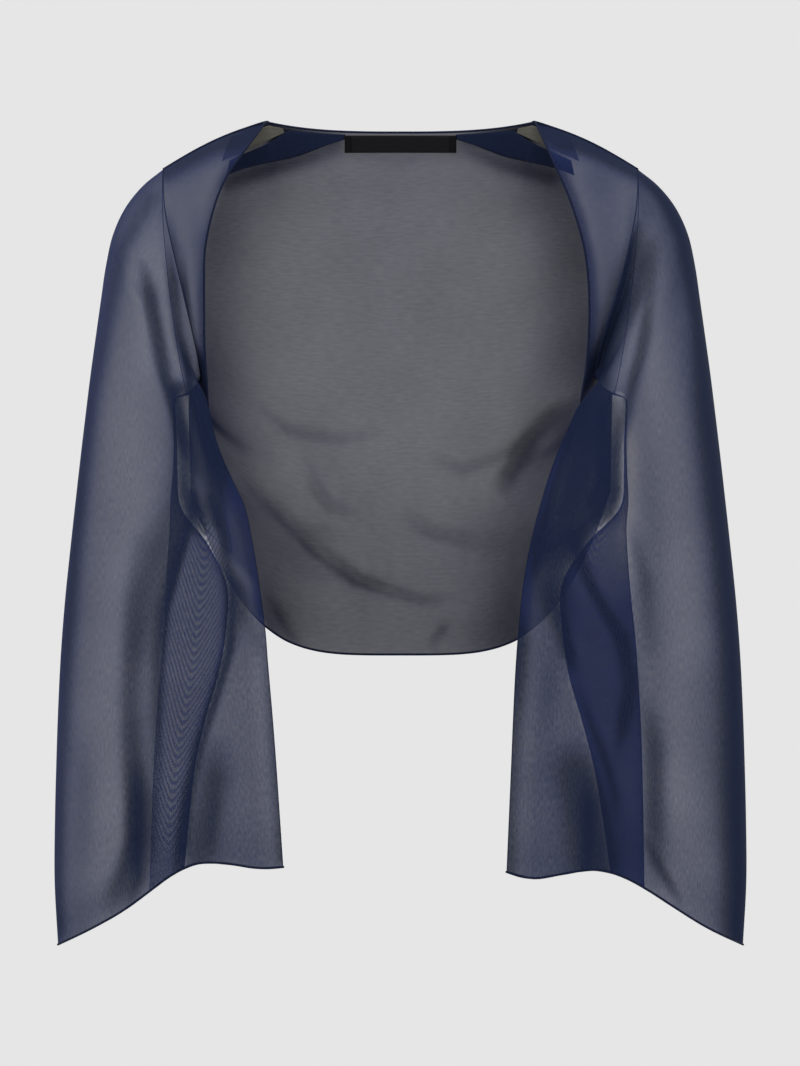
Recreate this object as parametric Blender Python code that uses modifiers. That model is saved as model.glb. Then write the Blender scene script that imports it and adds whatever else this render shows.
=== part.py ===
# Bolero jacket in sheer chiffon, filled out as it is worn, with nobody in it.
# Metres, +Z up. The front faces -Y, so the wearer's left side is at +X.
# The origin is midway between the two neck points, where the shoulders carry the jacket.

import math
from collections import namedtuple

import bmesh
import bpy
from mathutils import Vector

# The tables below are in millimetres. A drop is measured down from the neck points.
MM = 0.001

CLOTH = 1.0             # thickness of every cloth wall
SEAM_GAP = 0.3          # space between two pieces at a seam
LAID_ON = 0.8           # space between a panel and what is sewn flat on it

# The outlines are drawn as they look from this far in front and this far down.
EYE_DISTANCE = 3000.0
EYE_DROP = 329.0

# Shoulders and back
NECK_HALF = 108.0       # from the centre to a neck point
NECK_DEPTH = 56.0       # from a neck point back to the middle of the back neck
NECK_DIP = 8.4          # how far the middle of the back neck lies below the neck points
SHOULDER_RISE = 4.0     # crown of the shoulder seam
TOP_ROWS = 5.0          # rows over which the shoulder slope runs into the back
NECK_ANGLE = math.radians(34.6)  # where the neck point stands on each round of the back
NECK_COLUMNS = 6        # columns from the centre back to a neck point
SHOULDER_COLUMNS = 6    # columns along a shoulder seam
HALF_COLUMNS = NECK_COLUMNS + SHOULDER_COLUMNS
SIDE_ROWS = 8           # rows down a side seam
SIDE_STEPS = 2          # points from the fold station to the underarm, where the side seam starts

# The side seam runs from the underarm to the hem.
SIDE_X = 168.0
SIDE_DROP = 295.0

# Sleeves
SLEEVE_LENGTH = 638.0   # down the outer edge, from the shoulder to the hem
SLEEVE_RINGS = 19
HEAD_TURN = 60.0        # length over which the armhole's outline turns into the sleeve's
HEAD_TILT = 200.0       # length over which its heights do, over the front, top and back
UNDER_TILT = 340.0      # and under the arm
FIRST_RINGS = 0.55      # spacing of the first rings, as a share of the average
INNER_EDGE = 4.0        # thickness of the sleeve's inner edge, where its two ends are sewn together
HEM_RUN = 260.0         # length over which the hem's curve fades up the sleeve
LOW_SWELL = 0.85        # how far the front stands out near its inner edge, as a share of its depth
HIGH_SWELL = 0.66       # and near its outer edge
BACK_SWELL = 0.72       # the same for the back near its outer edge

# Folds fade out over this many points from an edge, and over this length below the armhole.
FOLD_EDGE = 2.0
FOLD_START = 40.0

# Label
LABEL_HALF = 45.0
LABEL_TOP = 10.2
LABEL_LOW = 24.0
LABEL_STEPS = 10
BAND_ROWS = 2            # rows of cloth across a band or the label

# Points round the armhole and round each ring of the sleeve, from the inner corner over the front,
# the outside and the back, with the number of steps to the next one.
Station = namedtuple("Station", "name steps")
RING = (
    Station("inner", 3),
    Station("front_low", 3),
    Station("front_mid", 3),
    Station("front_high", 3),
    Station("outer", 4),
    Station("back_high", 5),
    Station("back_low", 5),
    Station("fold", 4),
    Station("line", 6),
    Station("heel", 1),
)

# The seam where sleeve and body meet
Armhole = namedtuple("Armhole", "name left right y drop")
ARMHOLE = (
    Armhole("inner", 155.0, 160.0, -50.0, 204.0),
    Armhole("front_low", 160.0, 163.5, -56.0, 182.0),
    Armhole("front_mid", 176.0, 176.0, -64.0, 128.0),
    Armhole("front_high", 188.0, 188.0, -42.0, 72.0),
    Armhole("outer", 190.0, 190.0, 4.0, 38.0),
    Armhole("back_high", 190.0, 190.0, 52.0, 80.0),
    Armhole("back_low", 183.0, 183.0, 66.0, 150.0),
    Armhole("fold", 172.0, 172.0, 22.0, 213.0),
    Armhole("line", 166.0, 166.0, -22.0, 216.0),
    Armhole("heel", 157.6, 162.0, -41.5, 207.6),
)

# Levels of the back: depth and drop at the centre, and how the round of the level is shaped
Level = namedtuple("Level", "row y drop flatness lift")
BACK = (
    Level(0.0, 56.0, 8.4, 1.8, 2.0),
    Level(2.0, 67.0, 38.0, 1.8, 2.0),
    Level(4.0, 80.0, 72.0, 1.8, 2.0),
    Level(9.0, 104.0, 160.0, 1.5, 2.5),
    Level(14.0, 111.0, 250.0, 1.05, 4.0),
    Level(16.0, 111.0, 286.0, 1.0, 4.0),
    Level(20.0, 109.5, 356.0, 1.0, 4.0),
    Level(24.0, 107.0, 426.0, 1.0, 4.0),
)

# The open edge of each front, and how far the cloth bows out between it and the armhole
Edge = namedtuple("Edge", "row left right y drop bow")
FRONT = (
    Edge(0.0, 108.0, 108.0, 0.0, 0.0, 0.0),
    Edge(1.5, 117.0, 122.5, -26.0, 20.0, 2.0),
    Edge(3.0, 126.0, 137.0, -41.0, 40.0, 3.0),
    Edge(4.5, 137.0, 148.5, -52.0, 66.0, 2.0),
    Edge(6.0, 147.5, 156.5, -60.0, 103.0, 1.5),
    Edge(7.5, 151.0, 157.0, -62.0, 140.0, 1.0),
    Edge(9.0, 150.5, 157.0, -61.0, 172.0, 0.5),
    Edge(12.0, 148.0, 155.5, -61.0, 201.0, 0.5),
    Edge(13.0, 145.5, 154.5, -60.0, 215.0, 1.0),
    Edge(16.0, 141.0, 152.5, -62.0, 241.0, 4.0),
    Edge(19.0, 131.5, 150.0, -67.0, 264.0, 7.0),
    Edge(21.0, 125.0, 147.0, -68.0, 279.0, 8.0),
    Edge(25.0, 116.5, 140.0, -70.0, 313.0, 9.0),
    Edge(29.0, 115.0, 134.5, -71.0, 345.0, 9.0),
)

# Down the sleeve: its outer edge, its inner edge and the depth of its two faces
Outer = namedtuple("Outer", "length x y drop")
OUTER = (
    Outer(0.0, 190.0, 4.0, 38.0),
    Outer(22.0, 207.0, 3.0, 52.0),
    Outer(45.0, 221.0, 2.0, 70.0),
    Outer(67.0, 230.0, 1.0, 90.0),
    Outer(91.0, 235.5, 0.0, 114.0),
    Outer(130.0, 241.0, -2.0, 152.0),
    Outer(184.0, 248.5, -4.0, 206.0),
    Outer(287.0, 260.5, -8.0, 308.0),
    Outer(393.0, 271.0, -14.0, 414.0),
    Outer(515.0, 276.0, -19.0, 535.0),
    Outer(606.0, 276.5, -21.0, 626.0),
    Outer(638.0, 274.0, -22.0, 658.0),
)

Inner = namedtuple("Inner", "length left right y drop")
INNER = (
    Inner(0.0, 155.0, 160.0, -50.0, 204.0),
    Inner(22.0, 159.0, 163.5, -58.0, 207.0),
    Inner(45.0, 155.0, 160.0, -67.0, 212.0),
    Inner(67.0, 148.5, 156.5, -73.0, 219.0),
    Inner(91.0, 141.5, 153.5, -76.5, 229.0),
    Inner(130.0, 136.5, 151.0, -79.0, 240.0),
    Inner(184.0, 129.5, 147.0, -84.0, 256.0),
    Inner(232.0, 121.0, 139.0, -89.0, 277.0),
    Inner(287.0, 111.0, 124.0, -94.0, 310.0),
    Inner(342.0, 101.0, 116.0, -97.0, 352.0),
    Inner(393.0, 95.5, 109.5, -97.0, 395.0),
    Inner(460.0, 91.5, 105.0, -95.0, 448.0),
    Inner(515.0, 89.5, 101.0, -92.0, 495.0),
    Inner(638.0, 85.0, 94.0, -85.0, 598.0),
)

Faces = namedtuple("Faces", "length front back")
FACES = (
    Faces(0.0, -66.0, 68.0),
    Faces(91.0, -82.0, 64.0),
    Faces(184.0, -92.0, 54.0),
    Faces(287.0, -101.0, 42.0),
    Faces(393.0, -104.0, 32.0),
    Faces(515.0, -100.0, 23.0),
    Faces(638.0, -94.0, 16.0),
)

# The pleat in the sleeve's back: its fold lies under its line, further in.
Pleat = namedtuple("Pleat", "length fold_left fold_right fold_y line_left line_right line_y")
PLEAT = (
    Pleat(0.0, 172.0, 172.0, 22.0, 166.0, 166.0, -22.0),
    Pleat(45.0, 180.0, 180.0, 22.0, 177.0, 178.0, -32.0),
    Pleat(130.0, 181.0, 181.0, 20.0, 178.0, 180.0, -34.0),
    Pleat(232.0, 180.0, 180.0, 18.0, 178.0, 180.0, -36.0),
    Pleat(287.0, 176.0, 176.0, 8.0, 180.0, 183.0, -49.0),
    Pleat(342.0, 134.0, 143.0, -30.0, 182.0, 187.0, -58.0),
    Pleat(393.0, 129.0, 139.0, -36.0, 187.0, 189.0, -58.0),
    Pleat(460.0, 137.0, 148.0, -34.0, 191.0, 194.0, -59.0),
    Pleat(515.0, 151.0, 161.0, -33.0, 193.0, 197.0, -58.0),
    Pleat(638.0, 168.0, 173.0, -32.0, 195.0, 201.0, -56.0),
)

# How far the sleeve's hem curves up from the straight line between its two corners
Hem = namedtuple("Hem", "across left right")
HEM = (
    Hem(0.0, -2.0, 2.0),
    Hem(0.10, -1.0, 7.0),
    Hem(0.23, 10.0, 18.0),
    Hem(0.34, 20.0, 26.0),
    Hem(0.42, 24.0, 28.0),
    Hem(0.50, 23.5, 25.0),
    Hem(0.57, 21.0, 20.0),
    Hem(0.70, 13.0, 10.5),
    Hem(0.85, 4.5, 4.0),
    Hem(1.0, 0.0, 0.0),
)

# Where the cloth of a ring stands between its inner and its outer edge, away from the armhole
RING_ACROSS = {
    "inner": 0.0, "front_low": 0.20, "front_mid": 0.50, "front_high": 0.82,
    "outer": 1.0, "back_high": 0.86, "back_low": 0.64,
}

UNDER_ARM = ("fold", "line", "heel")

# The largest folds: soft troughs drawn from one point to another as seen from the front.
Crease = namedtuple("Crease", "x drop to_x to_drop width depth")
BACK_CREASES = (
    Crease(-126.0, 285.0, -68.0, 342.0, 17.0, 6.0),
    Crease(-68.0, 342.0, -13.0, 374.0, 15.0, 5.0),
    Crease(-77.0, 271.0, -46.0, 312.0, 15.0, -4.0),
    Crease(-4.0, 311.0, 65.0, 338.0, 15.0, 4.0),
    Crease(143.0, 225.0, 109.0, 254.0, 17.0, 6.0),
    Crease(109.0, 254.0, 85.0, 291.0, 16.0, 7.0),
    Crease(-106.0, 376.0, -86.0, 411.0, 15.0, 4.0),
    Crease(38.0, 400.0, 25.0, 414.0, 14.0, -3.0),
)
SLEEVE_CREASES = {
    "left": (
        Crease(183.0, 95.0, 179.0, 129.0, 14.0, 6.0),
        Crease(179.0, 129.0, 158.0, 185.0, 14.0, 7.0),
        Crease(200.0, 112.0, 169.0, 254.0, 16.0, 5.0),
        Crease(196.0, 574.0, 225.0, 626.0, 15.0, -4.0),
    ),
    "right": (
        Crease(181.0, 90.0, 173.0, 129.0, 14.0, 6.0),
        Crease(173.0, 129.0, 160.0, 195.0, 14.0, 7.0),
        Crease(205.0, 124.0, 187.0, 190.0, 16.0, 5.0),
        Crease(188.0, 399.0, 193.0, 550.0, 17.0, -4.0),
    ),
}

# Bands sewn inside the back neck: a facing each side of the label, and a tape at the shoulder.
# Their edges are lines of x and drop, and they run over these columns of the back.
Band = namedtuple("Band", "x facing_top facing_low tape_low")
BAND = (
    Band(40.0, 9.0, 12.0, 3.0),
    Band(60.0, 8.0, 18.0, 3.0),
    Band(75.0, 7.0, 24.0, 3.5),
    Band(88.0, 8.0, 28.0, 5.6),
    Band(108.0, 16.6, 31.8, 14.0),
    Band(126.0, 24.6, 36.2, 22.0),
    Band(150.0, 35.6, 46.0, 33.0),
)
FACING_COLUMNS = (1.82, 2.4, 3.0, 4.0, 5.0, 6.0, 7.0, 7.6)
TAPE_COLUMNS = (4.7, 5.0, 5.5, 6.0, 6.5, 7.0, 8.0)
TOP_EDGE = 0.12         # row of the back just below its top edge
PULLED = 3              # points over which an edge is drawn in at a seam
SEAM_EASE = 0.8         # a seam is taken as this much sharper, for the bend of the cloth beside it
SHARPEST_SEAM = math.radians(30.0)

COLOURS = {
    "navy_chiffon": (0.020, 0.028, 0.066, 1.0),
    "navy_facing": (0.009, 0.010, 0.020, 1.0),
    "label_satin": (0.006, 0.006, 0.008, 1.0),
    "pale_tape": (0.47, 0.43, 0.36, 1.0),
}
ROUGHNESS = {"navy_chiffon": 0.75, "navy_facing": 0.7, "label_satin": 0.38, "pale_tape": 0.8}


def read(table, field, at):
    # A smooth curve through one column of a table, at a place in its first column
    keys = [row[0] for row in table]
    values = [getattr(row, field) for row in table]
    at = min(max(at, keys[0]), keys[-1])
    after = next(i for i in range(1, len(keys)) if at <= keys[i])

    def slope(i):
        low, high = max(i - 1, 0), min(i + 1, len(keys) - 1)
        return (values[high] - values[low]) / (keys[high] - keys[low])

    span = keys[after] - keys[after - 1]
    t = (at - keys[after - 1]) / span
    rest = 1.0 - t
    return (
        values[after - 1] * (1.0 + 2.0 * t) * rest * rest
        + values[after] * t * t * (3.0 - 2.0 * t)
        + slope(after - 1) * span * t * rest * rest
        - slope(after) * span * t * t * rest
    )


def ease(t):
    t = min(max(t, 0.0), 1.0)
    return t * t * (3.0 - 2.0 * t)


def through(points):
    # A curve through the points of a ring, with each span's steps. Its knots follow the root of
    # each span's length, so that it turns tightly at a fold and makes no loop there.
    ends = [points[0] * 2.0 - points[1]] + points + [points[-1] * 2.0 - points[-2]]
    curve = []
    for i in range(len(points) - 1):
        count = RING[i].steps
        a, b, c, d = ends[i:i + 4]
        ab, bc, cd = ((q - p).length ** 0.5 for p, q in ((a, b), (b, c), (c, d)))
        leave = ((b - a) / ab - (c - a) / (ab + bc) + (c - b) / bc) * bc
        arrive = ((c - b) / bc - (d - b) / (bc + cd) + (d - c) / cd) * bc
        for step in range(count):
            t = step / count
            rest = 1.0 - t
            curve.append(
                b * (1.0 + 2.0 * t) * rest * rest + c * t * t * (3.0 - 2.0 * t)
                + leave * t * rest * rest - arrive * t * t * rest
            )
    return curve + [points[-1].copy()]


def crease_depth(creases, x, drop):
    # How deep the folds are at a point of a panel, as seen from the front
    deep = 0.0
    for crease in creases:
        run = Vector((crease.to_x - crease.x, crease.to_drop - crease.drop))
        here = Vector((x - crease.x, drop - crease.drop))
        t = min(max(here.dot(run) / run.length_squared, 0.0), 1.0)
        away = (here - run * t).length / crease.width
        deep += crease.depth * math.exp(-away * away)
    return deep


def armhole_loop(side):
    # The stitch line round one armhole, as a closed loop
    return through([Vector((getattr(row, side), row.y, -row.drop)) for row in ARMHOLE])


def ring_index(name):
    # Where a named point stands in the loop
    count = 0
    for station in RING:
        if station.name == name:
            return count
        count += station.steps
    return count


TOP_INDEX = ring_index("outer")
SIDE_INDEX = ring_index("fold") + SIDE_STEPS
BACK_ARM_ROWS = SIDE_INDEX - TOP_INDEX
BACK_ROWS = BACK_ARM_ROWS + SIDE_ROWS
RING_COUNT = sum(station.steps for station in RING)
FRONT_ARM_ROWS = TOP_INDEX + RING_COUNT - SIDE_INDEX
FRONT_ROWS = FRONT_ARM_ROWS + SIDE_ROWS


def side_seam(loop):
    # From the underarm down to the hem
    start = loop[SIDE_INDEX]
    end = Vector((SIDE_X, 0.0, -SIDE_DROP))
    return [start.lerp(end, step / SIDE_ROWS) for step in range(1, SIDE_ROWS + 1)]


def shoulder_point(t, loop):
    # Along a shoulder seam, from the neck point at 0 to the armhole at 1
    point = Vector((NECK_HALF, 0.0, 0.0)).lerp(loop[TOP_INDEX], t)
    point.z += SHOULDER_RISE * math.sin(math.pi * t)
    return point


def between(points, at):
    # A place on a row of points, by its index
    low = min(int(at), len(points) - 2)
    return points[low].lerp(points[low + 1], at - low)


def back_edge(side):
    # Down the outer edge of the back: half of the armhole, then the side seam
    loop = armhole_loop(side)
    return loop[TOP_INDEX:SIDE_INDEX + 1] + side_seam(loop)


def back_point(column, row, edges, loops):
    # A point of the back. Columns run outwards from 0 at the centre, minus to the wearer's right.
    side = "left" if column >= 0.0 else "right"
    sign = 1.0 if column >= 0.0 else -1.0
    out = abs(column)
    if out <= NECK_COLUMNS:
        angle = NECK_ANGLE * out / NECK_COLUMNS
    else:
        angle = NECK_ANGLE + (math.pi / 2 - NECK_ANGLE) * (out - NECK_COLUMNS) / SHOULDER_COLUMNS

    def level(at):
        edge = between(edges[side], at)
        centre_y, centre_drop = read(BACK, "y", at), read(BACK, "drop", at)
        across, deep = math.sin(angle), max(math.cos(angle), 0.0) ** read(BACK, "flatness", at)
        lift = across ** read(BACK, "lift", at)
        return Vector((
            edge.x * across,
            edge.y + (centre_y - edge.y) * deep,
            -centre_drop + (edge.z + centre_drop) * lift,
        ))

    point = level(row)
    if row < TOP_ROWS:
        if out <= NECK_COLUMNS:
            turn = math.pi / 2 * out / NECK_COLUMNS
            top = Vector((
                NECK_HALF * math.sin(turn),
                NECK_DEPTH * math.cos(turn),
                -NECK_DIP * (1.0 - math.sin(turn) ** 3),
            ))
        else:
            top = shoulder_point((out - NECK_COLUMNS) / SHOULDER_COLUMNS, loops[side])
        point += (top - level(0.0)) * (1.0 - row / TOP_ROWS) ** 2
    point.x *= sign
    fade = ease(min(row, BACK_ROWS - row + 1.0) / FOLD_EDGE) * ease((HALF_COLUMNS - out) / FOLD_EDGE)
    point.y += crease_depth(BACK_CREASES, point.x, -point.z) * fade
    return point


def back_grid(edges, loops):
    return [
        [back_point(column, row, edges, loops) for column in range(-HALF_COLUMNS, HALF_COLUMNS + 1)]
        for row in range(BACK_ROWS + 1)
    ]


def front_grid(side, loop):
    # A front, in rows from the shoulder seam down, each from the open edge to the armhole
    outer = [loop[TOP_INDEX - step] for step in range(TOP_INDEX + 1)]
    outer += [loop[RING_COUNT - step] for step in range(1, RING_COUNT - SIDE_INDEX + 1)]
    outer += side_seam(loop)
    grid = []
    for row, end in enumerate(outer):
        start = Vector((read(FRONT, side, row), read(FRONT, "y", row), -read(FRONT, "drop", row)))
        away = Vector(((start.x + end.x) / 2.0, (start.y + end.y) / 2.0, 0.0)).normalized()
        cells = []
        for column in range(SHOULDER_COLUMNS + 1):
            t = column / SHOULDER_COLUMNS
            bow = 4.0 * t * (1.0 - t) * read(FRONT, "bow", row)
            cells.append(start.lerp(end, t) + away * bow)
        if row == 0:
            cells = [shoulder_point(column / SHOULDER_COLUMNS, loop)
                     for column in range(SHOULDER_COLUMNS + 1)]
        grid.append(cells)
    return grid


def sleeve_ring(side, length):
    # One ring of the sleeve, this far down its outer edge
    inner = Vector((read(INNER, side, length), read(INNER, "y", length), -read(INNER, "drop", length)))
    outer = Vector((read(OUTER, "x", length), read(OUTER, "y", length), -read(OUTER, "drop", length)))
    front, back = read(FACES, "front", length), read(FACES, "back", length)
    width = outer.x - inner.x
    free = {name: inner.x + width * across for name, across in RING_ACROSS.items()}
    depth = {
        "inner": inner.y,
        "front_low": inner.y + (front - inner.y) * LOW_SWELL,
        "front_mid": front,
        "front_high": outer.y + (front - outer.y) * HIGH_SWELL,
        "outer": outer.y,
        "back_high": outer.y + (back - outer.y) * BACK_SWELL,
        "back_low": back,
        "fold": read(PLEAT, "fold_y", length),
        "line": read(PLEAT, "line_y", length),
    }
    free["fold"] = read(PLEAT, "fold_" + side, length)
    free["line"] = read(PLEAT, "line_" + side, length)
    free["heel"], depth["heel"] = inner.x + INNER_EDGE / 4.0, inner.y + INNER_EDGE
    start = {row.name: row for row in ARMHOLE}
    rise = start["inner"].drop - start["outer"].drop
    turned = 1.0 - (1.0 - min(length / HEAD_TURN, 1.0)) ** 2
    curved = ease((length - SLEEVE_LENGTH + HEM_RUN) / HEM_RUN)
    marks = []
    for station in RING:
        name = station.name
        if name == "inner":
            x, y, height = inner.x, inner.y, 0.0
        elif name == "outer":
            x, y, height = outer.x, outer.y, 1.0
        elif name in ("fold", "line"):
            x, y = free[name], depth[name]
            height = (x - inner.x) / width
        else:
            x = getattr(start[name], side) * (1.0 - turned) + free[name] * turned
            y = start[name].y * (1.0 - turned) + depth[name] * turned
            height = (x - inner.x) / width
        at_seam = (start["inner"].drop - start[name].drop) / rise
        tilted = ease(length / (UNDER_TILT if name in UNDER_ARM else HEAD_TILT))
        height = at_seam * (1.0 - tilted) + height * tilted
        z = inner.z + (outer.z - inner.z) * height
        marks.append(Vector((x, y, z)))
    ring = through(marks)
    for point in ring:
        point.z += read(HEM, side, (point.x - inner.x) / width) * curved
    for i in range(1, TOP_INDEX):
        fade = ease(min(i, TOP_INDEX - i) / FOLD_EDGE) * ease(length / FOLD_START)
        ring[i].y += crease_depth(SLEEVE_CREASES[side], ring[i].x, -ring[i].z) * fade
    return ring


def sleeve_grid(side, loop):
    # Rings from the armhole to the hem, closer together round the shoulder
    rings = [[point.copy() for point in loop]]
    for step in range(1, SLEEVE_RINGS):
        share = step / (SLEEVE_RINGS - 1)
        length = SLEEVE_LENGTH * share * (FIRST_RINGS + (1.0 - FIRST_RINGS) * share)
        rings.append(sleeve_ring(side, length))
    return rings


def into_cloth(grid, spots, inner):
    # At each spot of an edge, the direction into the cloth, square to the edge
    points = [grid[row][column] for row, column in spots]
    ways = []
    for i, (row, column) in enumerate(inner):
        edge = (points[min(i + 1, len(points) - 1)] - points[max(i - 1, 0)]).normalized()
        way = grid[row][column] - points[i]
        ways.append((way - edge * way.dot(edge)).normalized())
    return ways


def part_seam(first, second):
    # Draw two edges back from the stitch line that they share, so that the walls stay apart.
    # Each is a grid, its spots along the seam, and the spots next to them inside the cloth.
    ways = [into_cloth(*first), into_cloth(*second)]
    moves = []
    for i in range(len(first[1])):
        angle = max(ways[0][i].angle(ways[1][i]) * SEAM_EASE, SHARPEST_SEAM)
        gap = CLOTH / 2.0 / math.tan(angle / 2.0) + SEAM_GAP / 2.0
        for (grid, spots, inner), way in zip((first, second), ways):
            (row, column), (next_row, next_column) = spots[i], inner[i]
            for step in range(PULLED):
                spot = (row + (next_row - row) * step, column + (next_column - column) * step)
                moves.append((grid, spot, way[i] * gap * (1.0 - step / PULLED)))
    return moves


def open_seams(back, fronts, sleeves):
    # Leave the seam gap between back, fronts and sleeves
    half, last = HALF_COLUMNS, SHOULDER_COLUMNS
    moves = []
    for side, front in fronts.items():
        sleeve = sleeves[side]
        out = 1 if side == "left" else -1
        edge = half + out * half

        def side_of(grid, rows, column, inner):
            return grid, [(row, column) for row in rows], [(row, inner) for row in rows]

        def ring_of(spots):
            spots = [spot % RING_COUNT for spot in spots]
            return sleeve, [(0, spot) for spot in spots], [(1, spot) for spot in spots]

        moves += part_seam(
            side_of(back, range(BACK_ARM_ROWS + 1), edge, edge - out),
            ring_of(range(TOP_INDEX, SIDE_INDEX + 1)))
        moves += part_seam(
            side_of(front, range(FRONT_ARM_ROWS + 1), last, last - 1),
            ring_of(range(TOP_INDEX, SIDE_INDEX - RING_COUNT - 1, -1)))
        moves += part_seam(
            side_of(back, range(BACK_ARM_ROWS, BACK_ROWS + 1), edge, edge - out),
            side_of(front, range(FRONT_ARM_ROWS, FRONT_ROWS + 1), last, last - 1))
        columns = range(SHOULDER_COLUMNS + 1)
        across = [half + out * (NECK_COLUMNS + column) for column in columns]
        moves += part_seam(
            (back, [(0, spot) for spot in across], [(1, spot) for spot in across]),
            (front, [(0, column) for column in columns], [(1, column) for column in columns]))
    for grid, (row, column), move in moves:
        grid[row][column] += move


def on_grid(grid, column, row):
    # A place between the points of a grid
    low_row, low_column = min(int(row), len(grid) - 2), min(int(column), len(grid[0]) - 2)
    upper, lower = grid[low_row], grid[low_row + 1]
    t = column - low_column
    return upper[low_column].lerp(upper[low_column + 1], t).lerp(
        lower[low_column].lerp(lower[low_column + 1], t), row - low_row)


def inner_side(grid, column, row):
    # A place on the inner side of the back, far enough in for a second cloth to lie there
    step = 0.3
    across = on_grid(grid, column + step, row) - on_grid(grid, column - step, row)
    down = on_grid(grid, column, row + step) - on_grid(grid, column, max(row - step, 0.0))
    inward = across.cross(down).normalized()
    if inward.y > 0.0:
        inward.negate()
    return on_grid(grid, column, row) + inward * (CLOTH + LAID_ON)


def row_on(grid, column, line):
    # The row at which a column of the back crosses a line, given as a table of x and drop
    low, high = TOP_EDGE, float(BACK_ARM_ROWS)
    for _ in range(20):
        row = (low + high) / 2.0
        point = on_grid(grid, column, row)
        if -point.z < read(BAND, line, abs(point.x)):
            low = row
        else:
            high = row
    return row


def band_grid(panel, sign, columns, top, low):
    # A band on the inside of the back, between two lines, from column to column of the back
    grid = []
    for across in range(BAND_ROWS + 1):
        cells = []
        for column in columns:
            place = HALF_COLUMNS + sign * column
            start = row_on(panel, place, top) if top else TOP_EDGE
            end = row_on(panel, place, low)
            cells.append(inner_side(panel, place, start + (end - start) * across / BAND_ROWS))
        grid.append(cells)
    return grid


def label_grid(panel):
    # The label lies across the middle of the back neck
    grid = []
    for across in range(BAND_ROWS + 1):
        cells = []
        for step in range(LABEL_STEPS + 1):
            x = LABEL_HALF * (2.0 * step / LABEL_STEPS - 1.0)
            column, row = HALF_COLUMNS + x / NECK_HALF * NECK_COLUMNS, 1.0
            drop = LABEL_TOP + (LABEL_LOW - LABEL_TOP) * across / BAND_ROWS
            for _ in range(8):
                point = on_grid(panel, column, row)
                column += (x - point.x) / NECK_HALF * NECK_COLUMNS
                row = max(row + (drop + point.z) / 20.0, 0.0)
            cells.append(inner_side(panel, column, row))
        grid.append(cells)
    return grid


def placed(point):
    # From the drawn outline to its real place, nearer or further than the eye's own plane
    scale = 1.0 + point.y / EYE_DISTANCE
    return Vector((
        point.x * scale * MM,
        point.y * MM,
        (-EYE_DROP + (point.z + EYE_DROP) * scale) * MM,
    ))


def make_material(name):
    material = bpy.data.materials.new(name)
    material.use_nodes = True
    shader = material.node_tree.nodes["Principled BSDF"]
    shader.inputs["Base Color"].default_value = COLOURS[name]
    shader.inputs["Roughness"].default_value = ROUGHNESS[name]
    shader.inputs["Metallic"].default_value = 0.0
    material.diffuse_color = COLOURS[name]
    return material


def make_cloth(name, grid, material, collection, tube=False):
    # A cloth wall: the grid as an open sheet, or a tube, with Solidify on both sides of it
    mesh = bpy.data.meshes.new(name)
    sheet = bmesh.new()
    rows = [[sheet.verts.new(placed(point)) for point in row] for row in grid]
    columns = len(grid[0])
    for upper, lower in zip(rows, rows[1:]):
        for i in range(columns if tube else columns - 1):
            j = (i + 1) % columns
            sheet.faces.new((upper[i], lower[i], lower[j], upper[j]))
    bmesh.ops.triangulate(sheet, faces=sheet.faces)
    bmesh.ops.recalc_face_normals(sheet, faces=sheet.faces)
    sheet.to_mesh(mesh)
    sheet.free()
    mesh.shade_smooth()
    mesh.materials.append(make_material(material) if material not in bpy.data.materials
                          else bpy.data.materials[material])
    cloth = bpy.data.objects.new(name, mesh)
    collection.objects.link(cloth)
    wall = cloth.modifiers.new("wall", "SOLIDIFY")
    wall.thickness = CLOTH * MM
    wall.offset = 0.0
    wall.use_even_offset = True
    return cloth


def build():
    for old in list(bpy.data.objects):
        bpy.data.objects.remove(old, do_unlink=True)
    jacket = bpy.data.collections.new("bolero_jacket")
    bpy.context.scene.collection.children.link(jacket)

    signs = {"left": 1.0, "right": -1.0}
    loops = {side: armhole_loop(side) for side in signs}
    edges = {side: back_edge(side) for side in signs}
    back = back_grid(edges, loops)
    mirrored = {side: front_grid(side, loops[side]) for side in signs}
    sleeves = {side: sleeve_grid(side, loops[side]) for side in signs}

    # The back spans both sides, so the right half is joined to its pieces in the same sense.
    for point_row in mirrored["right"] + sleeves["right"]:
        for point in point_row:
            point.x = -point.x
    bands = {"neck_label": (label_grid(back), "label_satin")}
    for side, sign in signs.items():
        facing = band_grid(back, sign, FACING_COLUMNS, "facing_top", "facing_low")
        tape = band_grid(back, sign, TAPE_COLUMNS, None, "tape_low")
        bands["neck_facing_" + side] = (facing, "navy_facing")
        bands["shoulder_tape_" + side] = (tape, "pale_tape")
    open_seams(back, mirrored, sleeves)

    make_cloth("back", back, "navy_chiffon", jacket)
    for side in signs:
        make_cloth("front_" + side, mirrored[side], "navy_chiffon", jacket)
        make_cloth("sleeve_" + side, sleeves[side], "navy_chiffon", jacket, tube=True)
    for name, (grid, material) in bands.items():
        make_cloth(name, grid, material, jacket)


build()
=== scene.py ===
import math
from collections import namedtuple

import bpy
import numpy as np
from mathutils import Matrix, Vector, noise


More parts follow.
